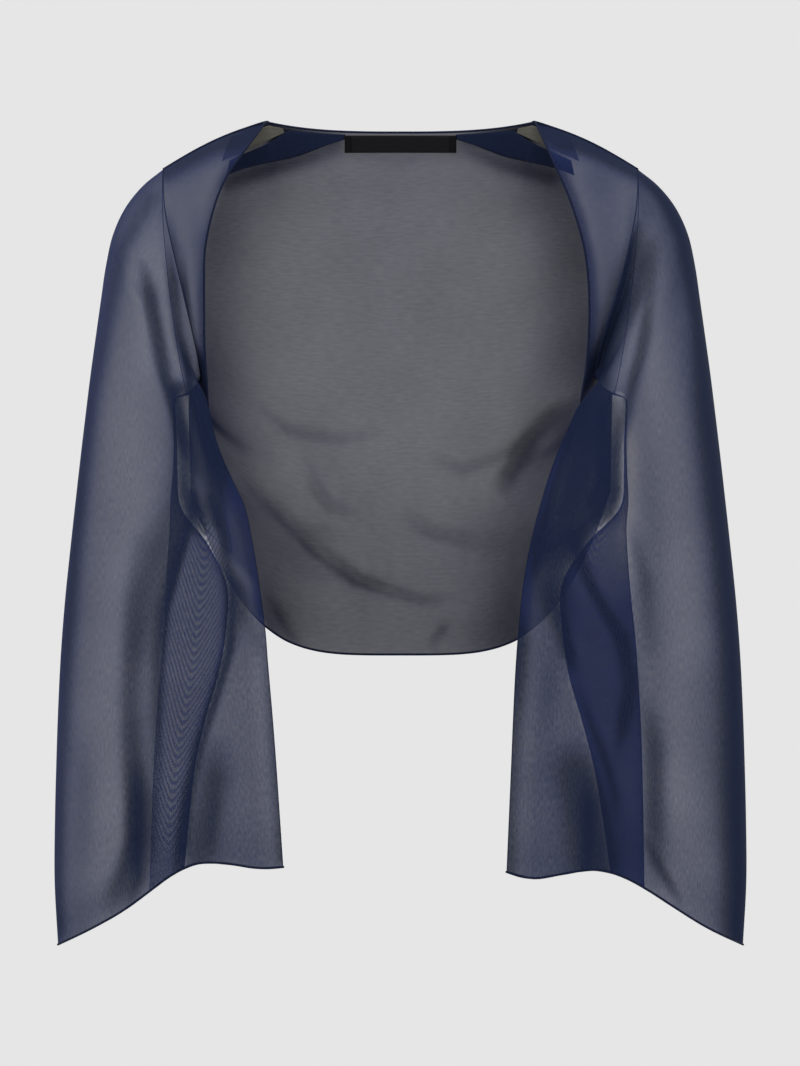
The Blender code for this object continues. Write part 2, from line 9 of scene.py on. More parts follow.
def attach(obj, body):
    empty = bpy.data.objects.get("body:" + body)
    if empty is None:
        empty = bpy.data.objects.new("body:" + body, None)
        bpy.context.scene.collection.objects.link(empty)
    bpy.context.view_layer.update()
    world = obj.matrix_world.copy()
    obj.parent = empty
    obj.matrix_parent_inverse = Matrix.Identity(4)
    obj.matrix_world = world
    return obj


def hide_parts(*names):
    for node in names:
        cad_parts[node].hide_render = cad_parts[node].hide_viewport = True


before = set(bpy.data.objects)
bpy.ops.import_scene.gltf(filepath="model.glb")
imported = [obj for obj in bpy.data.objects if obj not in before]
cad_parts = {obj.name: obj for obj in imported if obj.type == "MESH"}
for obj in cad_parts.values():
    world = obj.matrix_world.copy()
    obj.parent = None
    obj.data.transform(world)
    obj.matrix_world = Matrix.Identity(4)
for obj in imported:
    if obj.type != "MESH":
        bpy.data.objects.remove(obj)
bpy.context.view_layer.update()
print("frame loaded:", ", ".join(sorted(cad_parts)))


def table(fields, *rows):
    # Rows of numbers, with a name for each column
    Row = namedtuple("Row", fields)
    return [Row(*row) for row in rows]


# The drawing is in millimetres. A drop is measured down from the neck points.
metre = 0.001

clothWall = 1.0        # thickness of every cloth wall
laidOn = 0.8           # space between a panel and what is sewn flat on it

# The outlines are drawn as they look from this far in front and this far down.
eyeDistance = 3000.0
eyeDrop = 329.0

# Shoulders and back
neckHalf = 108.0       # from the centre to a neck point
neckDepth = 56.0       # from a neck point back to the middle of the back neck
neckDip = 8.4          # how far the middle of the back neck lies below the neck points
shoulderRise = 4.0     # crown of the shoulder seam
topRows = 5.0          # rows over which the shoulder slope runs into the back
neckAngle = math.radians(34.6)  # where the neck point stands on each round of the back
neckColumns = 6        # columns from the centre back to a neck point
shoulderColumns = 6    # columns along a shoulder seam
halfColumns = neckColumns + shoulderColumns
sideRows = 8           # rows down a side seam
sideSteps = 2          # points from the fold station to the underarm, where the side seam starts

# The side seam runs from the underarm to the hem.
sideX = 168.0
sideDrop = 295.0

# Sleeves
sleeveLength = 638.0   # down the outer edge, from the shoulder to the hem
sleeveRings = 19
headTurn = 60.0        # length over which the armhole's outline turns into the sleeve's
headTilt = 200.0       # length over which its heights do, over the front, top and back
underTilt = 340.0      # and under the arm
firstRings = 0.55      # spacing of the first rings, as a share of the average
innerEdge = 4.0        # thickness of the sleeve's inner edge, where its two ends are sewn together
hemRun = 260.0         # length over which the hem's curve fades up the sleeve
lowSwell = 0.85        # how far the front stands out near its inner edge, as a share of its depth
highSwell = 0.66       # and near its outer edge
backSwell = 0.72       # the same for the back near its outer edge

# Folds fade out over this many points from an edge, and over this length below the armhole.
foldEdge = 2.0
foldStart = 40.0

# Label
labelHalf = 45.0
labelTop = 10.2
labelLow = 24.0
labelSteps = 10
bandRows = 2           # rows of cloth across a band or the label

# Points round the armhole and round each ring of the sleeve, from the inner corner over the front,
# the outside and the back, with the number of steps to the next one.
ringStations = table(
    "name steps",
    ("inner", 3), ("frontLow", 3), ("frontMid", 3), ("frontHigh", 3), ("outer", 4), ("backHigh", 5), ("backLow", 5),
    ("fold", 4), ("line", 6), ("heel", 1),
)

# The seam where sleeve and body meet
armholeTable = table(
    "name left right y drop",
    ("inner", 155, 160, -50, 204), ("frontLow", 160, 163.5, -56, 182), ("frontMid", 176, 176, -64, 128),
    ("frontHigh", 188, 188, -42, 72), ("outer", 190, 190, 4, 38), ("backHigh", 190, 190, 52, 80),
    ("backLow", 183, 183, 66, 150), ("fold", 172, 172, 22, 213), ("line", 166, 166, -22, 216),
    ("heel", 157.6, 162, -41.5, 207.6),
)

# Levels of the back: depth and drop at the centre, and how the round of the level is shaped
backTable = table(
    "row y drop flatness lift",
    (0, 56, 8.4, 1.8, 2), (2, 67, 38, 1.8, 2), (4, 80, 72, 1.8, 2), (9, 104, 160, 1.5, 2.5), (14, 111, 250, 1.05, 4),
    (16, 111, 286, 1, 4), (20, 109.5, 356, 1, 4), (24, 107, 426, 1, 4),
)

# The open edge of each front, and how far the cloth bows out between it and the armhole
frontTable = table(
    "row left right y drop bow",
    (0, 108, 108, 0, 0, 0), (1.5, 117, 122.5, -26, 20, 2), (3, 126, 137, -41, 40, 3), (4.5, 137, 148.5, -52, 66, 2),
    (6, 147.5, 156.5, -60, 103, 1.5), (7.5, 151, 157, -62, 140, 1), (9, 150.5, 157, -61, 172, 0.5),
    (12, 148, 155.5, -61, 201, 0.5), (13, 145.5, 154.5, -60, 215, 1), (16, 141, 152.5, -62, 241, 4),
    (19, 131.5, 150, -67, 264, 7), (21, 125, 147, -68, 279, 8), (25, 116.5, 140, -70, 313, 9),
    (29, 115, 134.5, -71, 345, 9),
)

# Down the sleeve: its outer edge, its inner edge and the depth of its two faces
outerTable = table(
    "length x y drop",
    (0, 190, 4, 38), (22, 207, 3, 52), (45, 221, 2, 70), (67, 230, 1, 90), (91, 235.5, 0, 114), (130, 241, -2, 152),
    (184, 248.5, -4, 206), (287, 260.5, -8, 308), (393, 271, -14, 414), (515, 276, -19, 535), (606, 276.5, -21, 626),
    (638, 274, -22, 658),
)
innerTable = table(
    "length left right y drop",
    (0, 155, 160, -50, 204), (22, 159, 163.5, -58, 207), (45, 155, 160, -67, 212), (67, 148.5, 156.5, -73, 219),
    (91, 141.5, 153.5, -76.5, 229), (130, 136.5, 151, -79, 240), (184, 129.5, 147, -84, 256),
    (232, 121, 139, -89, 277), (287, 111, 124, -94, 310), (342, 101, 116, -97, 352), (393, 95.5, 109.5, -97, 395),
    (460, 91.5, 105, -95, 448), (515, 89.5, 101, -92, 495), (638, 85, 94, -85, 598),
)
facesTable = table(
    "length front back",
    (0, -66, 68), (91, -82, 64), (184, -92, 54), (287, -101, 42), (393, -104, 32), (515, -100, 23), (638, -94, 16),
)

# The pleat in the sleeve's back: its fold lies under its line, further in.
pleatTable = table(
    "length foldLeft foldRight foldY lineLeft lineRight lineY",
    (0, 172, 172, 22, 166, 166, -22), (45, 180, 180, 22, 177, 178, -32), (130, 181, 181, 20, 178, 180, -34),
    (232, 180, 180, 18, 178, 180, -36), (287, 176, 176, 8, 180, 183, -49), (342, 134, 143, -30, 182, 187, -58),
    (393, 129, 139, -36, 187, 189, -58), (460, 137, 148, -34, 191, 194, -59), (515, 151, 161, -33, 193, 197, -58),
    (638, 168, 173, -32, 195, 201, -56),
)

# How far the sleeve's hem curves up from the straight line between its two corners
hemTable = table(
    "across left right",
    (0, -2, 2), (0.1, -1, 7), (0.23, 10, 18), (0.34, 20, 26), (0.42, 24, 28), (0.5, 23.5, 25), (0.57, 21, 20),
    (0.7, 13, 10.5), (0.85, 4.5, 4), (1, 0, 0),
)

# Where the cloth of a ring stands between its inner and its outer edge, away from the armhole
ringAcross = {
    "inner": 0.0, "frontLow": 0.20, "frontMid": 0.50, "frontHigh": 0.82,
    "outer": 1.0, "backHigh": 0.86, "backLow": 0.64,
}
underArm = ("fold", "line", "heel")

# The largest folds: soft troughs drawn from one point to another as seen from the front.
creaseFields = "x drop toX toDrop width depth"
backCreases = table(
    creaseFields,
    (-126, 285, -68, 342, 17, 6), (-68, 342, -13, 374, 15, 5), (-77, 271, -46, 312, 15, -4),
    (-4, 311, 65, 338, 15, 4), (143, 225, 109, 254, 17, 6), (109, 254, 85, 291, 16, 7), (-106, 376, -86, 411, 15, 4),
    (38, 400, 25, 414, 14, -3),
)
sleeveCreases = {
    "left": table(
        creaseFields,
        (183, 95, 179, 129, 14, 6), (179, 129, 158, 185, 14, 7), (200, 112, 169, 254, 16, 5),
        (196, 574, 225, 626, 15, -4),
    ),
    "right": table(
        creaseFields,
        (181, 90, 173, 129, 14, 6), (173, 129, 160, 195, 14, 7), (205, 124, 187, 190, 16, 5),
        (188, 399, 193, 550, 17, -4),
    ),
}

# Bands sewn inside the back neck: a facing each side of the label, and a tape at the shoulder.
# Their edges are lines of x and drop, and they run over these columns of the back.
bandTable = table(
    "x facingTop facingLow tapeLow",
    (40, 4, 12, 3), (60, 4, 18, 3), (75, 3, 24, 3.5), (88, 5, 28, 5.6), (108, 16.6, 31.8, 14), (126, 24.6, 36.2, 22),
    (150, 35.6, 46, 33),
)
facingColumns = (1.66, 2.4, 3.0, 4.0, 5.0, 6.0, 7.0, 7.6)
tapeColumns = (4.25, 5.0, 5.5, 6.0, 6.5, 7.0, 8.0)
topEdge = 0.12         # row of the back just below its top edge
nearStep = 0.3         # columns and rows to a point's neighbours, for the way the back faces there
halvings = 20          # steps that find where a line crosses the back
labelTries = 8         # steps that find a place of the label on the back
rowHeight = 20.0       # about the height of a row of the back near the neck


def bend(a, b, leave, arrive, t):
    # Between two values that a curve leaves and reaches with these slopes
    rest = 1.0 - t
    return (a * (1.0 + 2.0 * t) * rest * rest + b * t * t * (3.0 - 2.0 * t)
            + leave * t * rest * rest - arrive * t * t * rest)


def slopes(a, b, c, d, ab, bc, cd):
    # The slopes at the middle two of four points, whose knots are this far apart
    leave = ((b - a) / ab - (c - a) / (ab + bc) + (c - b) / bc) * bc
    arrive = ((c - b) / bc - (d - b) / (bc + cd) + (d - c) / cd) * bc
    return leave, arrive


def read(rows, field, at):
    # A smooth curve through one column of a table, at a place in its first column
    keys = [row[0] for row in rows]
    values = [getattr(row, field) for row in rows]
    at = min(max(at, keys[0]), keys[-1])
    after = next(i for i in range(1, len(keys)) if at <= keys[i])

    def slope(i):
        low, high = max(i - 1, 0), min(i + 1, len(keys) - 1)
        return (values[high] - values[low]) / (keys[high] - keys[low])

    span = keys[after] - keys[after - 1]
    return bend(values[after - 1], values[after], slope(after - 1) * span, slope(after) * span,
                (at - keys[after - 1]) / span)


def spotOn(rows, across, at):
    # The point that a table gives at a place in its first column
    return Vector((read(rows, across, at), read(rows, "y", at), -read(rows, "drop", at)))


def ease(t):
    t = min(max(t, 0.0), 1.0)
    return t * t * (3.0 - 2.0 * t)


def through(points):
    # A curve through the points of a ring, with each span's steps. Its knots follow the root of
    # each span's length, so that it turns tightly at a fold and makes no loop there.
    ends = [points[0] * 2.0 - points[1]] + points + [points[-1] * 2.0 - points[-2]]
    curve = []
    for i in range(len(points) - 1):
        count = ringStations[i].steps
        a, b, c, d = ends[i:i + 4]
        leave, arrive = slopes(a, b, c, d, *((q - p).length ** 0.5 for p, q in ((a, b), (b, c), (c, d))))
        curve += [bend(b, c, leave, arrive, step / count) for step in range(count)]
    return curve + [points[-1].copy()]


def creaseDepth(creases, x, drop):
    # How deep the folds are at a point of a panel, as seen from the front
    deep = 0.0
    for crease in creases:
        run = Vector((crease.toX - crease.x, crease.toDrop - crease.drop))
        here = Vector((x - crease.x, drop - crease.drop))
        t = min(max(here.dot(run) / run.length_squared, 0.0), 1.0)
        away = (here - run * t).length / crease.width
        deep += crease.depth * math.exp(-away * away)
    return deep


def armholeLoop(side):
    # The stitch line round one armhole, as a closed loop
    return through([Vector((getattr(row, side), row.y, -row.drop)) for row in armholeTable])


def ringIndex(name):
    # Where a named point stands in the loop
    names = [station.name for station in ringStations]
    return sum(station.steps for station in ringStations[:names.index(name)])


topIndex = ringIndex("outer")
sideIndex = ringIndex("fold") + sideSteps
backArmRows = sideIndex - topIndex
backRows = backArmRows + sideRows
ringCount = sum(station.steps for station in ringStations)


def sideSeam(loop):
    # From the underarm down to the hem
    start = loop[sideIndex]
    end = Vector((sideX, 0.0, -sideDrop))
    return [start.lerp(end, step / sideRows) for step in range(1, sideRows + 1)]


def shoulderPoint(t, loop):
    # Along a shoulder seam, from the neck point at 0 to the armhole at 1
    point = Vector((neckHalf, 0.0, 0.0)).lerp(loop[topIndex], t)
    point.z += shoulderRise * math.sin(math.pi * t)
    return point


def between(points, at):
    # A place on a row of points, by its index
    low = min(int(at), len(points) - 2)
    return points[low].lerp(points[low + 1], at - low)


def backEdge(side):
    # Down the outer edge of the back: half of the armhole, then the side seam
    loop = armholeLoop(side)
    return loop[topIndex:sideIndex + 1] + sideSeam(loop)


def backPoint(column, row, edges, loops):
    # A point of the back. Columns run outwards from 0 at the centre, minus to the wearer's right.
    side = "left" if column >= 0.0 else "right"
    sign = 1.0 if column >= 0.0 else -1.0
    out = abs(column)
    if out <= neckColumns:
        angle = neckAngle * out / neckColumns
    else:
        angle = neckAngle + (math.pi / 2 - neckAngle) * (out - neckColumns) / shoulderColumns

    def level(at):
        edge = between(edges[side], at)
        centreY, centreDrop = read(backTable, "y", at), read(backTable, "drop", at)
        across, deep = math.sin(angle), max(math.cos(angle), 0.0) ** read(backTable, "flatness", at)
        lift = across ** read(backTable, "lift", at)
        return Vector((
            edge.x * across,
            edge.y + (centreY - edge.y) * deep,
            -centreDrop + (edge.z + centreDrop) * lift,
        ))

    point = level(row)
    if row < topRows:
        if out <= neckColumns:
            turn = math.pi / 2 * out / neckColumns
            top = Vector((
                neckHalf * math.sin(turn),
                neckDepth * math.cos(turn),
                -neckDip * (1.0 - math.sin(turn) ** 3),
            ))
        else:
            top = shoulderPoint((out - neckColumns) / shoulderColumns, loops[side])
        point += (top - level(0.0)) * (1.0 - row / topRows) ** 2
    point.x *= sign
    fade = ease(min(row, backRows - row + 1.0) / foldEdge) * ease((halfColumns - out) / foldEdge)
    point.y += creaseDepth(backCreases, point.x, -point.z) * fade
    return point


def backGrid(edges, loops):
    return [
        [backPoint(column, row, edges, loops) for column in range(-halfColumns, halfColumns + 1)]
        for row in range(backRows + 1)
    ]


def frontGrid(side, loop):
    # A front, in rows from the shoulder seam down, each from the open edge to the armhole
    outer = [loop[topIndex - step] for step in range(topIndex + 1)]
    outer += [loop[ringCount - step] for step in range(1, ringCount - sideIndex + 1)]
    outer += sideSeam(loop)
    shares = [column / shoulderColumns for column in range(shoulderColumns + 1)]
    grid = [[shoulderPoint(t, loop) for t in shares]]
    for row, end in list(enumerate(outer))[1:]:
        start = spotOn(frontTable, side, row)
        away = Vector(((start.x + end.x) / 2.0, (start.y + end.y) / 2.0, 0.0)).normalized()
        bow = read(frontTable, "bow", row)
        grid.append([start.lerp(end, t) + away * (4.0 * t * (1.0 - t) * bow) for t in shares])
    return grid


def sleeveRing(side, length):
    # One ring of the sleeve, this far down its outer edge
    inner, outer = spotOn(innerTable, side, length), spotOn(outerTable, "x", length)
    front, back = read(facesTable, "front", length), read(facesTable, "back", length)
    width = outer.x - inner.x
    free = {name: inner.x + width * across for name, across in ringAcross.items()}
    depth = {
        "inner": inner.y,
        "frontLow": inner.y + (front - inner.y) * lowSwell,
        "frontMid": front,
        "frontHigh": outer.y + (front - outer.y) * highSwell,
        "outer": outer.y,
        "backHigh": outer.y + (back - outer.y) * backSwell,
        "backLow": back,
        "heel": inner.y + innerEdge,
    }
    free["heel"] = inner.x + innerEdge / 4.0
    for name in ("fold", "line"):
        free[name] = read(pleatTable, name + side.capitalize(), length)
        depth[name] = read(pleatTable, name + "Y", length)
    start = {row.name: row for row in armholeTable}
    rise = start["inner"].drop - start["outer"].drop
    turned = 1.0 - (1.0 - min(length / headTurn, 1.0)) ** 2
    curved = ease((length - sleeveLength + hemRun) / hemRun)
    marks = []
    for name, seam in start.items():
        x, y = free[name], depth[name]
        if name not in ("inner", "outer", "fold", "line"):
            x = getattr(seam, side) * (1.0 - turned) + x * turned
            y = seam.y * (1.0 - turned) + y * turned
        atSeam = (start["inner"].drop - seam.drop) / rise
        tilted = ease(length / (underTilt if name in underArm else headTilt))
        height = atSeam * (1.0 - tilted) + (x - inner.x) / width * tilted
        marks.append(Vector((x, y, inner.z + (outer.z - inner.z) * height)))
    ring = through(marks)
    for point in ring:
        point.z += read(hemTable, side, (point.x - inner.x) / width) * curved
    for i in range(1, topIndex):
        fade = ease(min(i, topIndex - i) / foldEdge) * ease(length / foldStart)
        ring[i].y += creaseDepth(sleeveCreases[side], ring[i].x, -ring[i].z) * fade
    return ring


def sleeveGrid(side, loop):
    # Rings from the armhole to the hem, closer together round the shoulder
    rings = [[point.copy() for point in loop]]
    for step in range(1, sleeveRings):
        share = step / (sleeveRings - 1)
        length = sleeveLength * share * (firstRings + (1.0 - firstRings) * share)
        rings.append(sleeveRing(side, length))
    return rings


def onGrid(grid, column, row):
    # A place between the points of a grid
    lowRow, lowColumn = min(int(row), len(grid) - 2), min(int(column), len(grid[0]) - 2)
    upper, lower = grid[lowRow], grid[lowRow + 1]
    t = column - lowColumn
    return upper[lowColumn].lerp(upper[lowColumn + 1], t).lerp(
        lower[lowColumn].lerp(lower[lowColumn + 1], t), row - lowRow)


def innerSide(grid, column, row):
    # A place on the inner side of the back, far enough in for a second cloth to lie there
    across = onGrid(grid, column + nearStep, row) - onGrid(grid, column - nearStep, row)
    down = onGrid(grid, column, row + nearStep) - onGrid(grid, column, max(row - nearStep, 0.0))
    inward = across.cross(down).normalized()
    if inward.y > 0.0:
        inward.negate()
    return onGrid(grid, column, row) + inward * (clothWall + laidOn)


def rowOn(grid, column, line):
    # The row at which a column of the back crosses a line, given as a table of x and drop
    low, high = topEdge, float(backArmRows)
    for _ in range(halvings):
        row = (low + high) / 2.0
        point = onGrid(grid, column, row)
        if -point.z < read(bandTable, line, abs(point.x)):
            low = row
        else:
            high = row
    return row


def bandGrid(panel, sign, columns, top, low):
    # A band on the inside of the back, between two lines, from column to column of the back
    places = [halfColumns + sign * column for column in columns]
    starts = [rowOn(panel, place, top) if top else topEdge for place in places]
    ends = [rowOn(panel, place, low) for place in places]
    return [[innerSide(panel, place, start + (end - start) * across / bandRows)
             for place, start, end in zip(places, starts, ends)] for across in range(bandRows + 1)]


def labelGrid(panel):
    # The label lies across the middle of the back neck
    grid = []
    for across in range(bandRows + 1):
        cells = []
        for step in range(labelSteps + 1):
            x = labelHalf * (2.0 * step / labelSteps - 1.0)
            column, row = halfColumns + x / neckHalf * neckColumns, 1.0
            drop = labelTop + (labelLow - labelTop) * across / bandRows
            for _ in range(labelTries):
                point = onGrid(panel, column, row)
                column += (x - point.x) / neckHalf * neckColumns
                row = max(row + (drop + point.z) / rowHeight, 0.0)
            cells.append(innerSide(panel, column, row))
        grid.append(cells)
    return grid


# Finer surfaces, as arrays of rows, columns and x, y, z in millimetres

def finer(points, times, closed=False):
    # A smooth curve through rows of points. Its knots follow the root of each step's length.
    if closed:
        ends = np.concatenate([points[-1:], points, points[:2]])
    else:
        ends = np.concatenate([2 * points[:1] - points[1:2], points, 2 * points[-1:] - points[-2:-1]])
    curve = []
    for i in range(len(ends) - 3):
        a, b, c, d = ends[i:i + 4]
        leave, arrive = slopes(a, b, c, d, *(
            np.maximum(np.linalg.norm(q - p, axis=-1, keepdims=True), 1e-4) ** 0.5
            for p, q in ((a, b), (b, c), (c, d))))
        curve += [bend(b, c, leave, arrive, step / times) for step in range(times)]
    return np.array(curve if closed else curve + [points[-1]])


def finerGrid(grid, rowTimes, columnTimes, closed=False):
    points = np.array([[tuple(point) for point in row] for row in grid])
    points = finer(points, rowTimes)
    return finer(points.swapaxes(0, 1), columnTimes, closed).swapaxes(0, 1)


def foldWeight(before, after, path, x, drop):
    # How strongly a fold, or a stroke of painted shade or light, works at each point: fully on its path, fading to
    # each side of it
    nearest = np.full_like(x, 1e9)
    signed, strength = np.zeros_like(x), np.zeros_like(x)
    for (ax, ad, aShare), (bx, bd, bShare) in zip(path, path[1:]):
        runX, runD = bx - ax, bd - ad
        t = np.clip(((x - ax) * runX + (drop - ad) * runD) / (runX * runX + runD * runD), 0, 1)
        awayX, awayD = x - ax - runX * t, drop - ad - runD * t
        away = np.hypot(awayX, awayD)
        near = away < nearest
        nearest = np.where(near, away, nearest)
        signed = np.where(near, runX * awayD - runD * awayX, signed)
        strength = np.where(near, aShare + (bShare - aShare) * t, strength)
    width = np.where(signed > 0, before, after)
    return strength * np.exp(-(nearest / width) ** 2)


def addFoldsAndShading(points, folds, share, layerShare=1.0):
    # Push the points back into their folds, and return how many layers of cloth lie there, with painted shade added
    # as layers and painted light taken off
    x, drop = points[..., 0].copy(), -points[..., 2]
    layers = np.ones(x.shape)
    for before, after, deep, bunchAndShading, *path in folds:
        path = [(*point, 1)[:3] for point in path]
        weight = foldWeight(before, after, path, x, drop)
        points[..., 1] += deep * weight * share
        layers += bunchAndShading * weight * layerShare
    return layers


def fading(distance, run):
    # From 0 at an edge to 1 this far from it
    return np.clip(distance / run, 0, 1)


def drape(points, size, stretch, seed):
    # A slow unevenness, as cloth has, from about -1 to 1
    rows, columns = points.shape[:2]
    out = np.zeros((rows, columns))
    for i in range(rows):
        for j in range(columns):
            x, y, z = points[i, j]
            out[i, j] = noise.noise(Vector((x / size + seed, y / size, z / (size * stretch))))
    return out


def placedAll(points):
    scale = 1.0 + points[..., 1:2] / eyeDistance
    out = points * metre
    out[..., 0:1] *= scale
    out[..., 2:3] = (-eyeDrop + (points[..., 2:3] + eyeDrop) * scale) * metre
    return out


def arcs(points, axis, closed=False):
    # The average distance along the rows or columns, in metres
    steps = np.linalg.norm(np.diff(points, axis=axis), axis=2).mean(axis=1 - axis)
    if closed:
        steps = np.append(steps, np.linalg.norm(points[:, 0] - points[:, -1], axis=1).mean())
    return np.concatenate([[0.0], np.cumsum(steps)])


def addMesh(name, vertices, faces, uvs, material, body="root"):
    mesh = bpy.data.meshes.new(name)
    mesh.from_pydata([tuple(v) for v in vertices], [], [tuple(f) for f in faces])
    layer = mesh.uv_layers.new(name="UVMap")
    layer.data.foreach_set("uv", np.asarray(uvs, dtype=np.float32).ravel())
    mesh.shade_smooth()
    mesh.materials.append(material)
    mesh.update()
    piece = bpy.data.objects.new(name, mesh)
    bpy.context.scene.collection.objects.link(piece)
    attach(piece, body)
    return piece


def addField(piece, name, values):
    # A number at each point, for the material to read
    field = piece.data.attributes.new(name, "FLOAT", "POINT")
    field.data.foreach_set("value", values.astype(np.float32).ravel())


def addCloth(name, points, material, layers=None, closed=False):
    # One sheet of cloth from a grid of points in metres. Its UVs are in metres too.
    rows, columns = points.shape[:2]
    u, v = arcs(points, 1, closed), arcs(points, 0)
    across = columns if closed else columns - 1
    faces, uvs = [], []
    for i in range(rows - 1):
        for j in range(across):
            k = (j + 1) % columns
            faces.append((i * columns + j, (i + 1) * columns + j, (i + 1) * columns + k, i * columns + k))
            uvs += [(u[j], v[i]), (u[j], v[i + 1]), (u[j + 1], v[i + 1]), (u[j + 1], v[i])]
    piece = addMesh(name, points.reshape(-1, 3), faces, uvs, material)
    if layers is not None:
        addField(piece, "layers", layers)
    return piece


def addCords(name, paths, radius, material, sides=8):
    # Thin round cords along paths in metres: rolled hems and seam ridges
    vertices, faces, uvs = [], [], []
    for path, closed, *widths in paths:
        path = np.asarray(path)
        wide = widths[0] if widths else np.ones(len(path))
        first, count = len(vertices), len(path)
        ahead = np.roll(path, -1, axis=0) - np.roll(path, 1, axis=0)
        if not closed:
            ahead[0], ahead[-1] = path[1] - path[0], path[-1] - path[-2]
        length, lengths = 0.0, []
        normal = Vector(ahead[0]).normalized().orthogonal().normalized()
        for i in range(count):
            way = Vector(ahead[i]).normalized()
            normal = (normal - way * normal.dot(way)).normalized()
            other = way.cross(normal)
            lengths.append(length)
            length += float(np.linalg.norm(path[(i + 1) % count] - path[i]))
            for k in range(sides):
                angle = 2 * math.pi * k / sides
                offset = (normal * math.cos(angle) + other * math.sin(angle)) * radius * wide[i]
                vertices.append(Vector(path[i]) + offset)
        lengths.append(length)
        for i in range(count if closed else count - 1):
            for k in range(sides):
                a, b = first + i * sides, first + (i + 1) % count * sides
                n = (k + 1) % sides
                faces.append((a + k, b + k, b + n, a + n))
                low, high = k / sides, (k + 1) / sides
                uvs += [(lengths[i], low), (lengths[i + 1], low), (lengths[i + 1], high), (lengths[i], high)]
        if not closed:
            for start, turn in ((first, 1), (first + (count - 1) * sides, -1)):
                faces.append(tuple(start + k for k in range(sides))[::turn])
                uvs += [(0.0, 0.0)] * sides
    return addMesh(name, vertices, faces, uvs, material)


# Shader groups and materials
crepe = {
    "streakDetail": 1.5, "weaveDetail": 0.5, "cloudDetail": 2.0,
    "streakShare": 0.7, "weaveShare": 0.3, "cloudShare": 0.22,
}
yarnSockets = {"Across": 700.0, "Along": 150.0, "Weave": 1500.0, "Cloudy": 18.0, "Contrast": 0.5}
surface = {"specular": 0.06, "sheenRoughness": 0.5, "grazing": 0.05, "bunchedFrom": 1.1, "bumpHeight": 0.0005}


def mathsIn(tree):
    # A function that adds a maths node to this tree and returns what it puts out
    def calc(operation, *values, clamp=False):
        node = tree.nodes.new("ShaderNodeMath")
        node.operation = operation
        node.use_clamp = clamp
        for value, socket in zip(values, node.inputs):
            if isinstance(value, (int, float)):
                socket.default_value = value
            else:
                tree.links.new(value, socket)
        return node.outputs[0]
    return calc


def makeCrepeGroup():
    # Crepe yarn: short streaks along one way, with a fine weave under them
    group = bpy.data.node_groups.new("crepeCloth", "ShaderNodeTree")
    nodes, link, calc = group.nodes, group.links.new, mathsIn(group)
    group.interface.new_socket("UV", in_out="INPUT", socket_type="NodeSocketVector")
    for name, value in yarnSockets.items():
        group.interface.new_socket(name, in_out="INPUT", socket_type="NodeSocketFloat").default_value = value
    for name in ("Openness", "Height", "Cloud"):
        group.interface.new_socket(name, in_out="OUTPUT", socket_type="NodeSocketFloat")
    start, end = nodes.new("NodeGroupInput"), nodes.new("NodeGroupOutput")
    split = nodes.new("ShaderNodeSeparateXYZ")
    link(start.outputs["UV"], split.inputs[0])

    def noiseAt(across, along, detail):
        joined = nodes.new("ShaderNodeCombineXYZ")
        link(calc("MULTIPLY", split.outputs["X"], start.outputs[across]), joined.inputs["X"])
        link(calc("MULTIPLY", split.outputs["Y"], start.outputs[along]), joined.inputs["Y"])
        node = nodes.new("ShaderNodeTexNoise")
        node.inputs["Scale"].default_value = 1.0
        node.inputs["Detail"].default_value = detail
        link(joined.outputs[0], node.inputs["Vector"])
        return node.outputs[0]

    streak = noiseAt("Across", "Along", crepe["streakDetail"])
    weave = noiseAt("Weave", "Weave", crepe["weaveDetail"])
    cloud = noiseAt("Cloudy", "Cloudy", crepe["cloudDetail"])
    mixed = calc("MULTIPLY_ADD", streak, crepe["streakShare"], calc("MULTIPLY", weave, crepe["weaveShare"]))
    opened = calc("MULTIPLY_ADD", calc("SUBTRACT", mixed, 0.5), start.outputs["Contrast"], 1.0)
    opened = calc("MULTIPLY_ADD", calc("SUBTRACT", cloud, 0.5), crepe["cloudShare"], opened)
    for name, value in (("Openness", opened), ("Height", mixed), ("Cloud", cloud)):
        link(value, end.inputs[name])
    return group


crepeGroup = makeCrepeGroup()


def newMaterial(name, color, roughness, sheen=0.0, sheenTint=(1, 1, 1)):
    material = bpy.data.materials.new(name)
    material.use_nodes = True
    shader = material.node_tree.nodes["Principled BSDF"]
    for socket, value in (
            ("Base Color", (*color, 1.0)), ("Roughness", roughness), ("Specular IOR Level", surface["specular"]),
            ("Sheen Weight", sheen), ("Sheen Roughness", surface["sheenRoughness"]),
            ("Sheen Tint", (*sheenTint, 1.0))):
        shader.inputs[socket].default_value = value
    return material


def mixColors(tree, factor, first, second):
    # From one colour to another. The first may come from another node.
    mix = tree.nodes.new("ShaderNodeMix")
    mix.data_type = "RGBA"
    if isinstance(first, tuple):
        mix.inputs["A"].default_value = (*first, 1.0)
    else:
        tree.links.new(first, mix.inputs["A"])
    mix.inputs["B"].default_value = (*second, 1.0)
    tree.links.new(factor, mix.inputs["Factor"])
    return mix.outputs["Result"]


